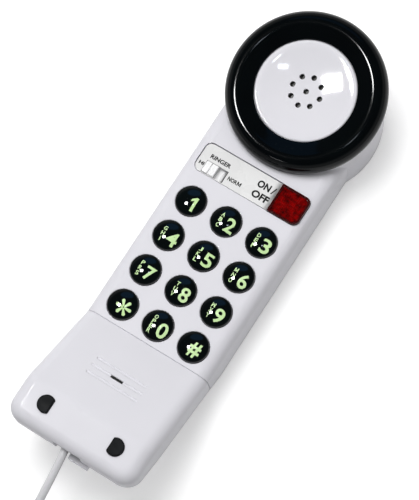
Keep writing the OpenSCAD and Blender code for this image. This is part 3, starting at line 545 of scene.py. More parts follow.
# Keys and control panel
KEY_BLACK = look(
    "key_black", (0.001, 0.0025, 0.003), (0.0008, 0.0018, 0.002), (0.03, 0.05), (0.3, 0.03, 900), 0.005,
    Coat_Weight=0.5, Coat_Roughness=0.02,
)
LEGEND_GREEN = look(
    "legend_green", (0.56, 0.79, 0.37), (0.62, 0.83, 0.45), (0.10, 0.16), (0.3, 0.1, 2000), 0.005,
    Coat_Weight=0.3, Coat_Roughness=0.03,
)
LEGEND_BLACK = look(
    "legend_black", (0.004, 0.004, 0.004), (0.007, 0.007, 0.007), (0.5, 0.6),
    Specular_IOR_Level=0.2,
)
PANEL_GREY = look(
    "panel_grey", (0.71, 0.71, 0.71), (0.66, 0.66, 0.66), (0.22, 0.34), (0.3, 0.4, 2500), 0.01,
    # Painted shade on the plate's end by the button
    painted_shade_at=(9.4, 12.2),
)
KNOB_WHITE = look("knob_white", (0.84, 0.84, 0.84), (0.80, 0.80, 0.81), (0.25, 0.35))
# The two reds mottle in small patches: the lens's own tint, with painted glints of its prisms
LENS_RED = look(
    "lens_red", (0.245, 0.001, 0.001), (0.03, 0.0, 0.0), (0.2, 0.3),
    tint_scale=480, Specular_IOR_Level=0.06,
)
FRAME_RED = look(
    "frame_red", (0.05, 0.0003, 0.0003), (0.035, 0.0002, 0.0002), (0.10, 0.16),
    Coat_Weight=0.15, Coat_Roughness=0.05,
)

# Pads, jack, plugs and cord
PAD_BLACK = look(
    "pad_black", (0.002, 0.0025, 0.003), (0.008, 0.0095, 0.0105), (0.5, 0.65), (0.2, 0.6, 3000), 0.03,
    Specular_IOR_Level=0.12,
)
JACK_BLACK = look("jack_black", (0.02, 0.02, 0.022), (0.03, 0.03, 0.032), (0.35, 0.5))
PLUG_CLEAR = look(
    "plug_clear", (0.80, 0.76, 0.74), (0.70, 0.66, 0.64), (0.05, 0.1),
    Transmission_Weight=0.85, IOR=1.5,
)
PLUG_SMOKY = look(
    "plug_smoky", (0.07, 0.06, 0.058), (0.045, 0.04, 0.038), (0.12, 0.2),
    Transmission_Weight=0.3, IOR=1.5,
)
CORD_GREY = look("cord_grey", (0.62, 0.62, 0.64), (0.56, 0.56, 0.58), (0.32, 0.42), (0.3, 0.5, 1800), 0.03)
TIE_DARK = look("tie_dark", (0.03, 0.03, 0.03), (0.05, 0.05, 0.05), (0.5, 0.65), (0.2, 0.8, 2500), 0.03)

# Inside the casings
SCREW_ZINC = look("screw_zinc", (0.60, 0.60, 0.62), (0.50, 0.50, 0.52), (0.25, 0.42), Metallic=1.0)
FOAM_BLACK = look(
    "foam_black", (0.02, 0.02, 0.02), (0.035, 0.035, 0.035), (0.8, 0.95), (0.2, 1.5, 2600), 0.08, 300,
    Specular_IOR_Level=0.1,
)
FILM_DARK = look(
    "film_dark", (0.02, 0.018, 0.016), (0.03, 0.026, 0.022), (0.2, 0.35), (0.5, 0.1, 900), 0.02,
)
CAPSULE_ALUMINIUM = look(
    "capsule_aluminium", (0.78, 0.78, 0.79), (0.7, 0.7, 0.71), (0.28, 0.42), (0.2, 0.6, 2200), 0.01,
    Metallic=1.0,
)
MAGNET_IRON = look(
    "magnet_iron", (0.24, 0.24, 0.25), (0.16, 0.16, 0.165), (0.4, 0.6), (0.3, 0.8, 1200), 0.03, 160,
    Metallic=1.0,
)
SILICONE_GREY = look(
    "silicone_grey", (0.30, 0.31, 0.32), (0.25, 0.26, 0.27), (0.5, 0.65), (0.4, 0.3, 900), 0.03,
)
BOARD_TAN = look(
    "board_tan", (0.42, 0.25, 0.10), (0.33, 0.19, 0.075), (0.4, 0.55), (0.2, 0.9, 2600), 0.015, 420,
)
CHIP_BLACK = look(
    "chip_black", (0.012, 0.012, 0.013), (0.024, 0.024, 0.025), (0.45, 0.6), (0.2, 0.9, 3000), 0.015, 300,
)
CORE_DARK = look(
    "core_dark", (0.07, 0.062, 0.055), (0.13, 0.10, 0.07), (0.4, 0.6), (0.4, 0.8, 1400), 0.05, 220,
)
SLEEVE_BLUE = look(
    "sleeve_blue", (0.03, 0.08, 0.24), (0.025, 0.065, 0.19), (0.2, 0.32), (0.5, 0.1, 1500), 0.015,
)
RIBBON_GREY = look(
    "ribbon_grey", (0.52, 0.53, 0.55), (0.40, 0.41, 0.43), (0.3, 0.42), (0.2, 0.3, 1500), 0.02, 900,
)
NYLON_WHITE = look(
    "nylon_white", (0.78, 0.77, 0.72), (0.72, 0.71, 0.66), (0.35, 0.5), (0.3, 0.3, 1500), 0.02,
)
SPRING_STEEL = look(
    "spring_steel", (0.55, 0.55, 0.56), (0.42, 0.42, 0.43), (0.2, 0.35), (0.2, 0.5, 2500), 0.01, 300,
    Metallic=1.0,
)
DISC_BRASS = look(
    "disc_brass", (0.72, 0.52, 0.22), (0.60, 0.42, 0.16), (0.25, 0.42), (0.3, 0.5, 1800), 0.01, 160,
    Metallic=1.0,
)
CONTACT_GOLD = look(
    "contact_gold", (0.90, 0.66, 0.26), (0.80, 0.56, 0.20), (0.15, 0.28), (0.2, 0.4, 2500), 0.006, 300,
    Metallic=1.0,
)
WIRE_YELLOW = look(
    "wire_yellow", (0.62, 0.46, 0.05), (0.54, 0.39, 0.04), (0.3, 0.42), (0.4, 0.3, 1500), 0.02,
)
WIRE_RED = look("wire_red", (0.40, 0.02, 0.02), (0.33, 0.015, 0.015), (0.3, 0.42), (0.4, 0.3, 1500), 0.02)
WIRE_GREEN = look(
    "wire_green", (0.03, 0.24, 0.06), (0.025, 0.19, 0.045), (0.3, 0.42), (0.4, 0.3, 1500), 0.02,
)

# Finishes of the construction's own pieces
NODE_LOOKS = {
    "ring_screws": SCREW_ZINC, "board_screws": SCREW_ZINC,
    "receiver_gasket": FOAM_BLACK, "receiver_diaphragm": FILM_DARK, "receiver_frame": SCREW_ZINC,
    "receiver_magnet": MAGNET_IRON, "receiver_wires": WIRE_YELLOW,
    "mic_boot": PAD_BLACK, "mic_capsule": CAPSULE_ALUMINIUM, "mic_wires": WIRE_RED,
    "keypad_board": BOARD_TAN, "main_board": BOARD_TAN,
    "dialer_chip": CHIP_BLACK, "line_transformer": CORE_DARK, "filter_capacitors": SLEEVE_BLUE,
    "board_ribbon": RIBBON_GREY, "ringer_switch": CHIP_BLACK, "on_off_switch": CHIP_BLACK,
    "on_off_plunger": NYLON_WHITE, "on_off_spring": SPRING_STEEL, "ringer_disc": DISC_BRASS,
    "line_jack": JACK_BLACK, "jack_wires": WIRE_GREEN, "plug_contacts": CONTACT_GOLD,
    "far_plug": PLUG_CLEAR, "cord_tie": TIE_DARK,
}
for node, node_look in NODE_LOOKS.items():
    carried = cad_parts[node]
    carried.data.materials.clear()
    carried.data.materials.append(node_look)


# ---------------------------------------------------------------- line cord
def smooth_route(points, steps):
    """A smooth curve through route points."""
    ends = [points[0] * 2 - points[1], *points, points[-1] * 2 - points[-2]]
    route = []
    for a, b, c, d in zip(ends, ends[1:], ends[2:], ends[3:]):
        for k in range(steps):
            t = k / steps
            route.append(
                0.5 * ((2 * b) + (c - a) * t + (2 * a - 5 * b + 4 * c - d) * t * t
                       + (3 * b - a - 3 * c + d) * t * t * t)
            )
    return [*route, points[-1]]


# The free lead, from inside the jack down to the floor, in the part's frame
LEAD_ROUTE = [
    (-1.9, -115.2, 37.2), (-1.7, -118, 36.8), (-1.2, -123, 36), (-0.6, -130, 34.8), (-0.1, -140, 32.3),
    (-0.4, -150, 27.8), (-1.6, -160, 20.9), (-3, -170, 13), (-3, -180, 6.5), (-3, -187, 3.5),
    (-3, -193, 2.7), (-3, -197, 2.7),
]
TAIL_ROUTE = [
    (56, -197, 15.6), (56, -192, 15.6), (56.5, -184, 13.5), (58, -175, 8.5), (60, -166, 4.5),
    (61.5, -159, 3.2), (62, -156, 3.2), (62, -152, 3.2),
]
CORD_WIDTH = 3.8
COIL_MIDDLE = (26.5, -201)
COIL_RADIUS = 29.5
COIL_PITCH = 4.3
COIL_LAYERS = 4
LAYER_TURNS = 3.625
COIL_FLOOR = 2.7
TURN_RINGS = 30


def coil_point(turns):
    """The coil spirals in and out in layers, and climbs where it reverses."""
    inwards = LAYER_TURNS - abs(LAYER_TURNS - turns % (2 * LAYER_TURNS))
    radius = COIL_RADIUS - COIL_PITCH * inwards
    angle = math.pi + math.tau * turns
    layer = sum(min(max(2 * (turns - k * LAYER_TURNS) + 0.5, 0), 1) for k in range(1, COIL_LAYERS))
    return Vector((
        COIL_MIDDLE[0] + radius * math.cos(angle),
        COIL_MIDDLE[1] + radius * math.sin(angle),
        COIL_FLOOR + COIL_PITCH * layer,
    ))


def run_cord():
    """The middle line of the whole cord, in metres: out of the jack, round the coil and off to its plug."""
    turns = COIL_LAYERS * LAYER_TURNS
    count = int(turns * TURN_RINGS)
    coil = [coil_point(turns * k / count) for k in range(count + 1)]
    lead = smooth_route([Vector(p) for p in LEAD_ROUTE], 3)
    tail = smooth_route([Vector(p) for p in TAIL_ROUTE], 3)
    return [p * MM for p in (*lead, *coil, *tail)]


def draw_tube(name, route, width, sides=12):
    """A round tube along a route, closed at both ends."""
    line = bpy.data.curves.new(name, "CURVE")
    line.dimensions = "3D"
    line.bevel_depth = width / 2
    line.bevel_resolution = sides // 4
    line.use_fill_caps = True
    thread = line.splines.new("POLY")
    thread.points.add(len(route) - 1)
    for point, place_at in zip(thread.points, route):
        point.co = (*place_at, 1)
    tube = bpy.data.objects.new(name, line)
    bpy.context.scene.collection.objects.link(tube)
    only(tube)
    bpy.ops.object.convert(target="MESH")
    bpy.ops.object.shade_smooth_by_angle(angle=math.radians(50))
    return bpy.context.object


cord_route = run_cord()
line_cord = draw_tube("line_cord", cord_route, CORD_WIDTH * MM)
line_cord.data.materials.append(CORD_GREY)
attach(line_cord, "handset")
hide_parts("cord_lead", "cord_coil", "cord_tail")


# ---------------------------------------------------------------- casings
MOUTH_SLOPE = math.atan(MOUTH_RISE / (MOUTH_START - MOUTH_END))
BACK_RISE = math.tan(BACK_SLOPE)
BEND_R = 10
FOOT_R = 7.8
FOOT_FLARE = 1.1
FACE_R, BACK_R = 6, 4.5
FLARE = 0.25  # soft edge round an opening


def upright(edge):
    """Edges that run straight up."""
    a, b = edge.verts
    return abs(a.co.x - b.co.x) < 0.01 and abs(a.co.y - b.co.y) < 0.01


def across(edge):
    """Edges that run from side to side of the handset."""
    a, b = edge.verts
    return abs(a.co.y - b.co.y) < 0.01 and abs(a.co.x - b.co.x) > 40


def on_plane(part, axis, value, slack=0.02):
    """Edges and faces that lie at one value of an axis."""
    return all(abs(v.co[axis] - value) < slack for v in part.verts)


def rim_edge(edge, face):
    """Edges between the sides and the face, or between the sides and the back, but not at the head."""
    if on_plane(edge, 1, NECK_END) or across(edge) and edge.verts[0].co.y > -95 or len(edge.link_faces) != 2:
        return False
    lift = sorted((f.normal.z for f in edge.link_faces), key=abs)
    return abs(lift[0]) < 0.2 and abs(lift[1]) > 0.5 and (lift[1] > 0) == face


def bend_points():
    """The soft bend between the mouthpiece face and the level foot: lengths and how far each is raised."""
    half = BEND_R * math.tan(MOUTH_SLOPE / 2)
    turns = [MOUTH_SLOPE * k / 5 for k in range(6)]
    return [(MOUTH_END - half + BEND_R * math.sin(a), MOUTH_RISE - BEND_R * (1 - math.cos(a))) for a in turns]


def handset_form(name, inset):
    """Body of the handset without its head, drawn in by inset on every side."""
    foot = FOOT_END + inset
    body = block(name, (-HALF_WIDTH + inset, foot, inset), (HALF_WIDTH - inset, NECK_END, FACE - inset))
    bend = bend_points()
    for y in (*(y for y, _ in bend), MOUTH_START, BACK_START):
        slice_at(body, (0, y, 0), (0, 1, 0))
    for y, lift in (*bend, (foot, MOUTH_RISE)):
        shift(body, lambda v: abs(v.co.y - y) < 0.01 and v.co.z > FACE / 2, (0, 0, lift))
    for y in (MOUTH_START, *(y for y, _ in bend), foot):
        low = lambda v: abs(v.co.y - y) < 0.01 and abs(v.co.z - inset) < 0.01
        shift(body, low, (0, 0, BACK_RISE * (BACK_START - y)))
    for side in (-1, 1):
        shift(body, lambda v: v.co.y < MOUTH_END + 4 and v.co.x * side > 1, (FOOT_FLARE * side, 0, 0))
    soften(body, lambda e: upright(e) and e.verts[0].co.y < foot + 0.1, FOOT_R - inset, 12)
    soften(body, lambda e: rim_edge(e, True), FACE_R - inset, 8)
    soften(body, lambda e: rim_edge(e, False), BACK_R - inset, 6)
    return body


def head_form(name, inset, rise):
    """The round head: its back is level and its top lies square to the earpiece."""
    top = 30  # before it is tilted and moved to the earpiece's seat
    head = rod(name, HEAD_R - inset, inset, top, at=(0, HEAD_Y), sides=128)
    wide = (RING_R - inset) / (HEAD_R - inset)
    seat = EAR @ Vector((0, 0, RING_SEAT - inset + rise))
    pick(head, "VERT", lambda v: v.co.z > top - 1)
    bpy.ops.transform.resize(value=(wide, wide, 1), center_override=(0, HEAD_Y, top))
    bpy.ops.transform.rotate(value=-TILT, orient_axis="X", center_override=(0, HEAD_Y, top))
    bpy.ops.transform.translate(value=(0, seat.y - HEAD_Y, seat.z - top))
    put_down()
    soften(head, lambda e: on_plane(e, 2, inset), BACK_R - inset, 6)
    return head


def whole_form(name, inset, rise=0):
    """Body and head in one."""
    return carve(handset_form(name, inset), head_form("head", inset, rise), "UNION")


def below_parting(shift_up=0):
    """Everything below the parting face of the two casings."""
    end = FOOT_END - 3
    bend = BACK_START + PARTING * math.tan(BACK_SLOPE / 2)
    prism = block("parting", (-60, end, -1), (60, 140, PARTING + shift_up))
    slice_at(prism, (0, bend, 0), (0, 1, 0))
    shift(prism, lambda v: v.co.y < end + 0.1 and v.co.z > 0, (0, 0, BACK_RISE * (bend - end)))
    return prism


def opening(low, high, left=0, right=0, flare=FLARE):
    """A cutter with rounded upright corners, which widens at its top into a soft edge."""
    cutter = block("opening", low, (high[0], high[1], high[2] - flare))
    if left:
        soften(cutter, lambda e: upright(e) and abs(e.verts[0].co.x - low[0]) < 0.01, left, 8)
    if right:
        soften(cutter, lambda e: upright(e) and abs(e.verts[0].co.x - high[0]) < 0.01, right, 8)
    middle = ((low[0] + high[0]) / 2, (low[1] + high[1]) / 2, high[2])
    size = (high[0] - low[0], high[1] - low[1])
    pick(cutter, "FACE", lambda f: on_plane(f, 2, high[2] - flare))
    height, out = 0, 0
    for angle in (30, 60, 90):
        rise = flare * math.sin(math.radians(angle)) - height
        wider = flare * (1 - math.cos(math.radians(angle)))
        bpy.ops.mesh.extrude_region_move(TRANSFORM_OT_translate={"value": (0, 0, rise)})
        grow = [(side + 2 * wider) / (side + 2 * out) for side in size]
        bpy.ops.transform.resize(value=(*grow, 1), center_override=middle)
        height, out = height + rise, wider
    bpy.ops.mesh.extrude_region_move(TRANSFORM_OT_translate={"value": (0, 0, 2)})
    put_down()
    return cutter


def on_facet(piece, length):
    """Sets a piece, drawn at the origin, on the mouthpiece face at a length below the keypad's middle."""
    height = FACE + MOUTH_RISE * (MOUTH_START + length) / (MOUTH_START - MOUTH_END)
    return place(piece, Matrix.Translation((0, -length, height)) @ Matrix.Rotation(-MOUTH_SLOPE, 4, "X"))


def key_places():
    """Middles of the keys, row by row from the top left."""
    return [(KEY_PITCH * column, KEY_PITCH * row) for row in (1.5, 0.5, -0.5, -1.5) for column in (-1, 0, 1)]


PAD_R = 4.15


def pad_form(name, out, low, high):
    """The right pad: a disc with its inner side cut straight, grown by an amount."""
    pad = rod(name, PAD_R + out, low, high, sides=64)
    bench(pad)
    bpy.ops.mesh.select_all(action="SELECT")
    bpy.ops.mesh.bisect(plane_co=(-2.5 - out, 0, 0), plane_no=(1, 0, 0), clear_inner=True, use_fill=True)
    put_down()
    return moved(pad, (18.2, -87, 0))


def jack_room():
    """The opening for the line jack, through both casings."""
    return block("jack_room", (-7.2, -101.6, 30.8), (7.2, -84.4, 41.2))


def build_casings():
    """The two shells, with the line between them and the crease under the keys."""
    casing = whole_form("front_casing", 0, 1)
    carve(casing, whole_form("room", WALL))
    rear = copy_of(casing, "rear_casing")
    carve(rear, below_parting(), "INTERSECT")
    carve(casing, below_parting())
    # The line and the crease are as deep as this skin
    skin = whole_form("skin", 0.6, 1)
    seam = carve(below_parting(0.45), skin, keep_tool=True)
    carve(casing, seam)
    crease = block("crease", (-60, MOUTH_START - 0.25, 6), (60, MOUTH_START + 0.25, 60))
    carve(casing, carve(crease, skin))
    return casing, rear


def cut_panel_room(front):
    """Recess and gap for the control panel, and openings for the button and the ringer knob."""
    (left, low), (right, high) = PANEL_LOW, PANEL_HIGH
    gap = FIT_GAP
    carve(front, opening((left - gap, low - gap, 24.3), (right + 2 * gap, high + gap, FACE), left=3.2))
    trench = block("trench", (left - 0.6, low - 0.1, 23.5), (right + 0.3, high + 0.55, 26))
    soften(trench, lambda e: upright(e) and e.verts[0].co.x < left - 0.1, 3.6, 8)
    carve(trench, block("middle", (left + 0.4, low - 2.8, 20), (20, high - 0.3, 28)))
    carve(front, trench)
    (left, low), (right, high) = BUTTON_LOW, BUTTON_HIGH
    carve(front, opening((left - gap, low - gap, 22), (right + gap, high + gap, FACE), right=3.2))
    carve(front, block("window", *KNOB_WINDOW))


def cut_face(front):
    """Key holes, panel room, earpiece seat, grooves, microphone slot and the pads' seats."""
    hole_r = KEY_R + FIT_GAP
    lip = arc((hole_r + FLARE, FACE - FLARE), FLARE, 180, 90, 3)
    hole = turn_on_lathe("key_hole", [(0, 21), (hole_r, 21), *lip, (hole_r + FLARE, 27), (0, 27)], 64)
    holes = [moved(copy_of(hole, "key_hole"), (x, y, 0)) for x, y in key_places()]
    bpy.data.objects.remove(hole)
    carve(front, join("key_holes", holes))
    cut_panel_room(front)
    carve(front, place(rod("ring_room", 38.05, RING_SEAT, 9.4, sides=128), EAR))
    carve(front, place(rod("receiver_room", 19.8, 2 * RING_SEAT, RING_SEAT + 1, sides=96), EAR))
    slots = [on_facet(block("slot", (-3.15, -0.8, -3.2), (3.15, 0.8, 1)), MIC_AT)]
    for length in (MIC_AT - 4, MIC_AT, MIC_AT + 4):
        groove = block("groove", (-13.6, -1, -0.5), (13.6, 1, 1.5))
        soften(groove, lambda e: True, 0.95, 6)
        slots.append(on_facet(groove, length))
    carve(slots[0], slots.pop(2), "UNION")
    carve(front, join("slots", slots))
    pad = pad_form("pad_room", FIT_GAP, 44.2, 46)
    carve(front, join("pad_rooms", [pad, mirror_of(pad, "pad_room")]))


# Where the two casings part at the foot's screws, then each screw with that height
FOOT_SCREW = -62
FOOT_PART = BACK_RISE * (BACK_START - FOOT_SCREW) + PARTING / math.cos(BACK_SLOPE)
CASE_SCREWS = [(x, y, low) for x in (-24.5, 24.5) for y, low in ((112, PARTING), (FOOT_SCREW, FOOT_PART))]
BOARD_POSTS = [(x, y) for x in (-KEY_PITCH / 2, KEY_PITCH / 2) for y in (-KEY_PITCH, KEY_PITCH)]
MAIN_POSTS = [(x, y) for x in (-22, 22) for y in (-20, 37)]


def add_front_posts(front):
    """Posts for the keypad board, bosses for the case screws and a collar for the microphone."""
    posts = [rod("post", 2.3, 18, 23.8, at=at, sides=32) for at in BOARD_POSTS]
    for x, y, low in CASE_SCREWS:
        posts.append(rod("boss", 3.2, low, 31.3 if y > 0 else 34.35, at=(x, y), sides=32))
    posts.append(on_facet(rod("collar", 7.45, -9, -1.5), MIC_AT))
    carve(front, join("posts", posts), "UNION")
    bores = [rod("bore", 0.9, 17, 22, at=at, sides=24) for at in BOARD_POSTS]
    bores += [rod("bore", 1.3, low - 1, low + 9, at=(x, y), sides=24) for x, y, low in CASE_SCREWS]
    bores.append(on_facet(rod("mouth", 6.15, -10, -1.99), MIC_AT))
    carve(front, join("bores", bores))


def add_rear_posts(rear):
    """Posts for the main board and the case screws, a seat for the ringer disc and a rib under the jack."""
    posts = [rod("post", 2.6, 1.7, 6, at=at, sides=32) for at in MAIN_POSTS]
    for x, y, low in CASE_SCREWS:
        posts.append(rod("post", 3.2, 1.7 if y > 0 else 15.9, low - 0.05, at=(x, y), sides=32))
    posts.append(rod("seat", 15.1, 1.7, 5.2, at=(0, EAR_Y), sides=96))
    posts.append(block("rib", (-3.5, -93.4, 28.4), (3.5, -87.4, 31)))
    carve(rear, join("posts", posts), "UNION")
    bores = [rod("bore", 0.9, 2.5, 7, at=at, sides=24) for at in MAIN_POSTS]
    bores.append(rod("disc_room", 13.6, 4.2, 6, at=(0, EAR_Y), sides=96))
    bores.append(rod("air_room", 12, 2.2, 4.7, at=(0, EAR_Y), sides=96))
    carve(rear, join("bores", bores))


def cut_back(rear):
    """The ringer's sound holes, one amid six, and the case screws' holes and wells."""
    holes = [rod("hole", 1, -1, 3.2, at=(0, EAR_Y), sides=24)]
    for k in range(6):
        turn = math.tau * k / 6
        at = (4.5 * math.cos(turn), EAR_Y + 4.5 * math.sin(turn))
        holes.append(rod("hole", 1, -1, 3.2, at=at, sides=24))
    holes += [rod("screw_hole", 1.5, low - 8, low + 4, at=(x, y), sides=32) for x, y, low in CASE_SCREWS]
    carve(rear, join("holes", holes))
    wells = [rod("screw_room", 2.6, low - 8, low - 2.6, at=(x, y), sides=32) for x, y, low in CASE_SCREWS]
    carve(rear, join("screw_rooms", wells))


front_casing, rear_casing = build_casings()
add_front_posts(front_casing)
cut_face(front_casing)
carve(front_casing, jack_room())
add_rear_posts(rear_casing)
cut_back(rear_casing)
carve(rear_casing, jack_room())
ledge = block("ledge", (0.6, -101.2, 29.9), (10.4, -98.2, 34.6))
soften(ledge, lambda e: True, 0.3, 2)
carve(rear_casing, ledge, "UNION")
settle(front_casing, "handset", SHELL_WHITE, ["front_shell"], angle=20)
settle(rear_casing, "handset", SHELL_WHITE, ["rear_cover"], angle=20)


def build_case_screws():
    """One pan head screw with a cross recess, copied to the four corners of the back."""
    outline = [(0, 0.8), (1.7, 0.8), *arc((1.75, 1.45), 0.65, -80, 0, 5), (2.4, 2.4)]
    outline += [(1.2, 2.4), (1.2, 11.4), (0.5, 12.2), (0, 12.2)]
    screw = turn_on_lathe("case_screw", outline, 48)
    cross = block("cross", (-1.5, -0.28, 0.7), (1.5, 0.28, 1.7))
    carve(cross, block("cross", (-0.28, -1.5, 0.7), (0.28, 1.5, 1.7)), "UNION")
    carve(screw, cross)
    screws = [moved(copy_of(screw, "case_screw"), (x, y, low - 5)) for x, y, low in CASE_SCREWS]
    bpy.data.objects.remove(screw)
    return join("case_screw_set", screws)


settle(build_case_screws(), "handset", SCREW_ZINC, ["case_screws"])


# ---------------------------------------------------------------- earpiece
def build_ring():
    """The black ring: a lip that holds the cap, a flat slope and a full round roll."""
    section = [(27, RING_SEAT), (27, 2.5), (24.15, 2.5), (24, 2.65), (24, 4.0), (24.1, 4.1), (26.6, 4.92)]
    section += arc((32, 0.45), 5.85, 115, -30, 40)
    section += [(RING_R, RING_SEAT)]
    return place(turn_on_lathe("black_ring", section, 160), EAR)


DISH_R, DISH_DEPTH = 21.6, 2.2


def build_cap():
    """The white cap: a dish in a rim, a skirt down to the seat, and one sound hole amid eight."""
    sphere = (DISH_R ** 2 + DISH_DEPTH ** 2) / (2 * DISH_DEPTH)
    reaches = [DISH_R * k / 12 for k in range(13)]
    dish = [(reach, 1.3 + sphere - math.sqrt(sphere ** 2 - reach ** 2)) for reach in reaches]
    section = [*dish, (22.9, 3.5), *arc((22.9, 2.5), 1, 80, 0, 6), (23.9, 2.4), (26.9, 2.4)]
    section += [(26.9, RING_SEAT), (25.3, RING_SEAT), (25.3, 0.1), (0, 0.1)]
    cap = place(turn_on_lathe("white_cap", section, 128), EAR)
    holes = [rod("sound_hole", 1.32, -1, 4, sides=32)]
    for k in range(1, 9):
        turn = math.tau * k / 8
        at = (7.2 * math.cos(turn), 7.2 * math.sin(turn))
        holes.append(rod("sound_hole", 1.32, -1, 4, at=at, sides=32))
    return carve(cap, place(join("sound_holes", holes), EAR))


settle(build_ring(), "handset", RING_BLACK, ["earpiece_ring"])
settle(build_cap(), "handset", CAP_WHITE, ["earpiece_cap"])


# ---------------------------------------------------------------- keys
CROWN_R = 16.5
CROWN_TOP = 28.1
KEY_EDGE_R = 0.75


def crown_height(radius):
    """Height of a key's crown at a distance from its middle."""
    return CROWN_TOP - CROWN_R + math.sqrt(CROWN_R ** 2 - radius ** 2)


def build_key():
    """A crowned key with a soft edge, a flange under the face and a foot thin enough to enter its dome."""
    flat = 6.85  # the crown's radius, up to the soft edge
    crown = [(flat * k / 12, crown_height(flat * k / 12)) for k in range(13)]
    lean = math.degrees(math.asin(flat / CROWN_R))
    edge_z = crown_height(flat) - KEY_EDGE_R * math.cos(math.radians(lean)) + 0.05
    edge = arc((KEY_R - KEY_EDGE_R, edge_z), KEY_EDGE_R, 90 - lean - 4, 0, 6)
    section = [*crown, *edge, (KEY_R, 23.2), (7.9, 23.2), (8.3, 22.8), (8.3, 22.2)]
    section += [(1.6, 22.2), (1.6, 20.6), (0, 20.6)]
    return turn_on_lathe("key", section, 96)


# Each key: its node, the sign and the rectangle that it fills, or the star's middle, and the small letters
KEYS = [
    ("key_1", "1", (0.5, -4.7, 3.3, 2.3), ""), ("key_2", "2", (0.8, -4.6, 5.3, 2.4), "ABC"),
    ("key_3", "3", (0.7, -4.6, 5.3, 2.4), "DEF"), ("key_4", "4", (0.4, -4.5, 5.5, 2.4), "GHI"),
    ("key_5", "5", (0.8, -4.6, 5.5, 2.2), "JKL"), ("key_6", "6", (0.9, -4.6, 5.3, 2.5), "MNO"),
    ("key_7", "7", (0.6, -4.4, 5.2, 2.2), "PRS"), ("key_8", "8", (0.7, -4.7, 5.2, 2.3), "TUV"),
    ("key_9", "9", (0.1, -4.8, 4.8, 2.2), "WXY"), ("key_star", "*", (1.5, -1.25), ""),
    ("key_0", "0", (1.0, -4.9, 5.8, 2.3), "OPER"), ("key_hash", "#", (-1.3, -4.8, 4.3, 2.4), ""),
]
LETTER_ROWS = {3: (0.9, -1.75, -4.4), 4: (1.9, -0.45, -2.8, -5.1)}


def flat_word(word, height, bold=0.0):
    """A word as a flat mesh, its strokes made bolder by an amount."""
    bpy.ops.object.select_all(action="DESELECT")
    bpy.ops.object.text_add(location=(0, 0, 0))
    text = bpy.context.object
    text.data.body = word
    text.data.size = height / 0.73
    text.data.offset = bold
    text.data.resolution_u = 4
    bpy.ops.object.convert(target="MESH")
    return bpy.context.object


def stretch(piece, low, high):
    """Fits a flat word into the rectangle between two points."""
    xs = [v.co.x for v in piece.data.vertices]
    ys = [v.co.y for v in piece.data.vertices]
    wide, tall = (high[0] - low[0]) / (max(xs) - min(xs)), (high[1] - low[1]) / (max(ys) - min(ys))
    to_corner = Matrix.Translation((-min(xs), -min(ys), 0))
    grow = Matrix.Diagonal((wide, tall, 1, 1))
    return place(piece, Matrix.Translation((low[0], low[1], 0)) @ grow @ to_corner)


def flat_plate(name, points):
    """A flat face through corner points."""
    bpy.ops.object.select_all(action="DESELECT")
    bpy.ops.mesh.primitive_plane_add(size=1, location=(0, 0, 0))
    plate = bpy.context.object
    plate.name = name
    bench(plate)
    bpy.ops.mesh.select_all(action="SELECT")
    bpy.ops.mesh.merge(type="CENTER")
    here = points[0]
    bpy.ops.transform.translate(value=(here[0], here[1], 0))
    for point in points[1:]:
        step = (point[0] - here[0], point[1] - here[1], 0)
        bpy.ops.mesh.extrude_vertices_move(TRANSFORM_OT_translate={"value": step})
        here = point
    bpy.ops.mesh.select_all(action="SELECT")
    bpy.ops.mesh.edge_face_add()
    bpy.ops.mesh.normals_make_consistent(inside=False)
    put_down()
    return plate


def star(middle):
    """Six petals, round at their tips."""
    petals = []
    for k in range(6):
        tip = arc((0, 3.15), 0.78, -20, 200, 8)
        petal = flat_plate("petal", [(0.28, 0.35), *tip, (-0.28, 0.35)])
        petals.append(place(petal, Matrix.Rotation(math.tau * (k + 0.5) / 6, 4, "Z")))
    return moved(join("star", petals), (*middle, 0))


def one(low, high):
    """A one with a thick flag."""
    stem, wide, tall = 1.35, high[0] - low[0], high[1] - low[1]
    shape = [(wide - stem, 0), (wide, 0), (wide, tall), (wide - stem * 0.75, tall), (0, tall * 0.76),
             (0, tall * 0.6), (wide - stem, tall * 0.74)]
    return moved(flat_plate("one", shape), (*low, 0))


def zigzag(sign, low, high, stem):
    """An M, or upside down a W, from one outline."""
    wide, tall = high[0] - low[0], high[1] - low[1]
    half, slope = wide / 2, stem * 0.35
    shape = [(0, 0), (stem, 0), (stem, tall * 0.6), (half - slope, tall * 0.1), (half + slope, tall * 0.1),
             (wide - stem, tall * 0.6), (wide - stem, 0), (wide, 0), (wide, tall), (wide - stem * 1.15, tall),
             (half, tall * 0.38), (stem * 1.15, tall), (0, tall)]
    if sign == "W":
        shape = [(wide - x, tall - y) for x, y in shape]
    return moved(flat_plate(sign, shape), (*low, 0))


def drape(words, over_piece):
    """Drops flat words on the crown of a key."""
    bench(words)
    bpy.ops.mesh.select_all(action="SELECT")
    bpy.ops.mesh.quads_convert_to_tris()
    bpy.ops.mesh.subdivide(number_cuts=3)
    put_down()
    moved(words, (0, 0, CROWN_TOP + 10))
    wrap = words.modifiers.new("drape", "SHRINKWRAP")
    wrap.wrap_method = "PROJECT"
    wrap.use_project_z = True
    wrap.use_negative_direction = True
    wrap.use_positive_direction = False
    wrap.target = over_piece
    wrap.offset = 0.03
    bpy.ops.object.modifier_apply(modifier=wrap.name)
    return words


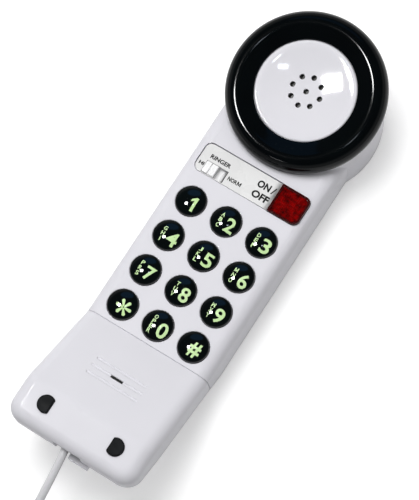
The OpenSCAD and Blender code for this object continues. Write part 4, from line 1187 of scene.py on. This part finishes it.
def build_legend(name, sign, room, letters, key_piece):
    """A key's sign and its column of small letters, on its crown."""
    if sign == "*":
        parts = [star(room)]
    elif sign == "1":
        parts = [one(room[:2], room[2:])]
    else:
        parts = [stretch(flat_word(sign, 7, 0.28 if sign == "#" else 0.2), room[:2], room[2:])]
    for letter, y in zip(letters, LETTER_ROWS.get(len(letters), ())):
        left, right = (-2.5, -2.0) if letter == "I" else (-3.1, -1.4)
        if letter in "MW":
            parts.append(zigzag(letter, (left - 0.05, y), (right + 0.05, y + 2.05), 0.36))
        else:
            parts.append(stretch(flat_word(letter, 2, 0.07), (left, y), (right, y + 2.05)))
    return drape(join(name + "_legend", parts), key_piece)


key_shape = build_key()
for (node, sign, room, letters), (x, y) in zip(KEYS, key_places()):
    key_piece = copy_of(key_shape, node + "_top")
    legend = build_legend(node, sign, room, letters, key_piece)
    moved(key_piece, (x, y, 0))
    moved(legend, (x, y, 0))
    settle(key_piece, node + "_cap", KEY_BLACK, [node])
    settle(legend, node + "_cap", LEGEND_GREEN, even=False)
bpy.data.objects.remove(key_shape)


def build_mat():
    """Rubber mat under the keys, with a dome for each foot, open where the foot goes down."""
    mat = block("rubber_mat", (-27.8, -38.1, 18), (27.8, 38.1, 19))
    soften(mat, upright, 0.8, 3)
    wall = [(1.9, 18.6), (4.6, 18.6), (4.6, 19), (4.1, 19.1), (3.4, 19.7), (2.9, 20.2), (2.5, 20.45),
            (2.2, 20.5), (2, 20.45), (1.9, 20.3)]
    dome = turn_on_lathe("dome", wall, 48)
    for x, y in key_places():
        carve(mat, moved(copy_of(dome, "one_dome"), (x, y, 0)), "UNION")
        carve(mat, rod("foot_room", 1.9, 17, 19.5, at=(x, y), sides=48))
    bpy.data.objects.remove(dome)
    for at in BOARD_POSTS:
        carve(mat, rod("post_hole", 2.4, 17, 20, at=at, sides=32))
    return mat


settle(build_mat(), "handset", SILICONE_GREY, ["keypad_mat"])


# ---------------------------------------------------------------- control panel
PANEL_TOP = 25.3
KNOB_TOP = 25.9
BUTTON_TOP = 26.7
BUTTON_FOOT = 20.6
LENS_FLOOR = BUTTON_TOP - 0.5
SPRING_AT = (20.35, 50, 0)


def build_panel():
    """The grey plate: rounded at its left, sloping down at its right, with the knob's window."""
    slope_start = 10.9
    panel = block("panel_plate", (*PANEL_LOW, PANEL_TOP - 1), (*PANEL_HIGH, PANEL_TOP))
    soften(panel, lambda e: upright(e) and e.verts[0].co.x < -26, 3.1, 8)
    slice_at(panel, (slope_start, 50, 25), (1, 0, 0))
    shift(panel, lambda v: v.co.x > PANEL_HIGH[0] - 0.1 and v.co.z > 25, (0, 0, -0.55))
    soften(panel, lambda e: on_plane(e, 2, PANEL_TOP) and not on_plane(e, 0, slope_start, 0.01), 0.12, 2)
    return carve(panel, block("window", *KNOB_WINDOW))


def build_knob():
    """The ringer knob: two ribs, a wide plate that covers the window, and a stem to the switch."""
    middle = -20
    knob = block("slide_knob", (-23.2, 43.3, 22.2), (-16.8, 49.1, KNOB_TOP))
    soften(knob, lambda e: on_plane(e, 2, KNOB_TOP), 0.5, 4)
    carve(knob, block("groove", (middle - 0.3, 40, 25.1), (middle + 0.3, 52, 27)))
    lips = lambda e: all(abs(abs(v.co.x - middle) - 0.3) < 0.01 and v.co.z > KNOB_TOP - 0.1 for v in e.verts)
    soften(knob, lips, 0.3, 3)
    plate = block("knob_plate", (-28.4, 42.1, 20.6), (-12.9, 50.3, 22.5))
    soften(plate, lambda e: on_plane(e, 2, 22.5) and on_plane(e, 0, -12.9), 1.6, 6)
    carve(plate, block("knob_stem", (-21.25, 44.95, 11.8), (-18.75, 47.45, 21)), "UNION")
    return join("slide_knob", [knob, plate])


def build_button():
    """The red frame with its sunk floor, the flange that keeps it in, and a groove for the spring."""
    (left, low), (right, high) = BUTTON_LOW, BUTTON_HIGH
    button = block("red_button", (left, low, BUTTON_FOOT), (right, high, BUTTON_TOP))
    soften(button, lambda e: upright(e) and e.verts[0].co.x > right - 1.5, 3, 8)
    pick(button, "FACE", lambda f: on_plane(f, 2, BUTTON_TOP))
    bpy.ops.mesh.inset(thickness=1.1)
    bpy.ops.mesh.extrude_region_move(TRANSFORM_OT_translate={"value": (0, 0, LENS_FLOOR - BUTTON_TOP)})
    put_down()
    soften(button, lambda e: on_plane(e, 2, BUTTON_TOP), 0.25, 3)
    flange_top = BUTTON_FOOT + 1.6
    flange = block("flange", (left - 0.8, low - 0.8, BUTTON_FOOT), (right + 0.8, high + 0.8, flange_top))
    soften(flange, lambda e: upright(e) and e.verts[0].co.x > right - 0.5, 3.8, 8)
    soften(flange, lambda e: on_plane(e, 2, flange_top), 0.6, 3)
    carve(button, flange, "UNION")
    spring_room = turn_on_lathe("spring_room", [(2.2, 20), (3.4, 20), (3.4, 22.3), (2.2, 22.3)], 48)
    return carve(button, moved(spring_room, SPRING_AT))


def build_facets():
    """The lens inside the button's frame: rows of low facets, four to each small square."""
    corners = [(14.05, 43.85), (25.9, 43.85), (27.35, 45.3), (27.35, 54.7), (25.9, 56.15), (14.05, 56.15)]
    facets = flat_plate("lens_facets", corners)
    for k in range(1, 12):
        slice_at(facets, (13.6 + k * 1.1, 50, 0), (1, 0, 0))
        slice_at(facets, (20, 43.4 + k * 1.1, 0), (0, 1, 0))
    bench(facets, "FACE")
    bpy.ops.mesh.select_all(action="SELECT")
    bpy.ops.mesh.flip_normals()
    bpy.ops.mesh.poke(offset=0.3)
    put_down()
    return moved(facets, (0, 0, LENS_FLOOR + 0.02))


settle(build_panel(), "handset", PANEL_GREY, ["control_panel"])
settle(build_knob(), "ringer_slider", KNOB_WHITE, ["ringer_knob"])
settle(build_button(), "on_off_press", FRAME_RED, ["on_off_button"])
settle(build_facets(), "on_off_press", LENS_RED, angle=5)

# Each word and the two corners of the rectangle that it fills. NORM's last letter is a zigzag.
PANEL_WORDS = [
    ("RINGER", (-23, 50.75), (-12.3, 52.85)), ("HI", (-26.3, 45.9), (-23.7, 47.6)),
    ("NOR", (-10.6, 45.7), (-5.75, 47.7)), ("ON", (2.4, 50.3), (9.0, 53.9)), ("/", (9.9, 50.3), (11.7, 53.9)),
    ("OFF", (2.4, 45), (11.2, 48.6)),
]
BOLD = {"ON": 0.2, "OFF": 0.2, "/": 0.06}
words = [zigzag("M", (-5.6, 45.7), (-3.65, 47.7), 0.42)]
for word, low, high in PANEL_WORDS:
    words.append(stretch(flat_word(word, high[1] - low[1], BOLD.get(word, 0.1)), low, high))
panel_words = moved(join("panel_words", words), (0, 0, PANEL_TOP + 0.03))
settle(panel_words, "handset", LEGEND_BLACK, even=False)


# ---------------------------------------------------------------- plug in the jack
def build_plug():
    """The cord's plug, deep in the jack: its body, latch and the rooms of its blades."""
    plug = block("cord_plug", (-4.8, -97.9, 32.8), (4.8, -89, 39.2))
    soften(plug, lambda e: True, 0.4, 3)
    latch = block("latch", (-1.5, -97.5, 31.8), (1.5, -90, 33))
    carve(plug, latch, "UNION")
    rooms = []
    for k in (-1.5, -0.5, 0.5, 1.5):
        rooms.append(block("blade_room", (1.02 * k - 0.22, -93.1, 37.5), (1.02 * k + 0.22, -89.9, 40)))
    return carve(plug, join("blade_rooms", rooms))


settle(build_plug(), "handset", PLUG_SMOKY, ["near_plug"])


# ---------------------------------------------------------------- black block in the microphone's slot: painted shade
# A black block inside the slot, painting the shade that falls there
mouth = block("mic_slot_shade_block", (-3.1, -0.77, -3), (3.1, 0.77, -0.55))
soften(mouth, lambda e: True, 0.1, 2)
settle(on_facet(mouth, MIC_AT), "handset", FOAM_BLACK)


# ---------------------------------------------------------------- rest pads
PAD_TOP = 46.3
pad_right = pad_form("pad_right", 0, 44.2, PAD_TOP)
soften(pad_right, lambda e: on_plane(e, 2, PAD_TOP), 0.5, 3)
pad_left = mirror_of(pad_right, "pad_left")
settle(pad_right, "handset", PAD_BLACK, ["rest_pad_right"])
settle(pad_left, "handset", PAD_BLACK, ["rest_pad_left"])
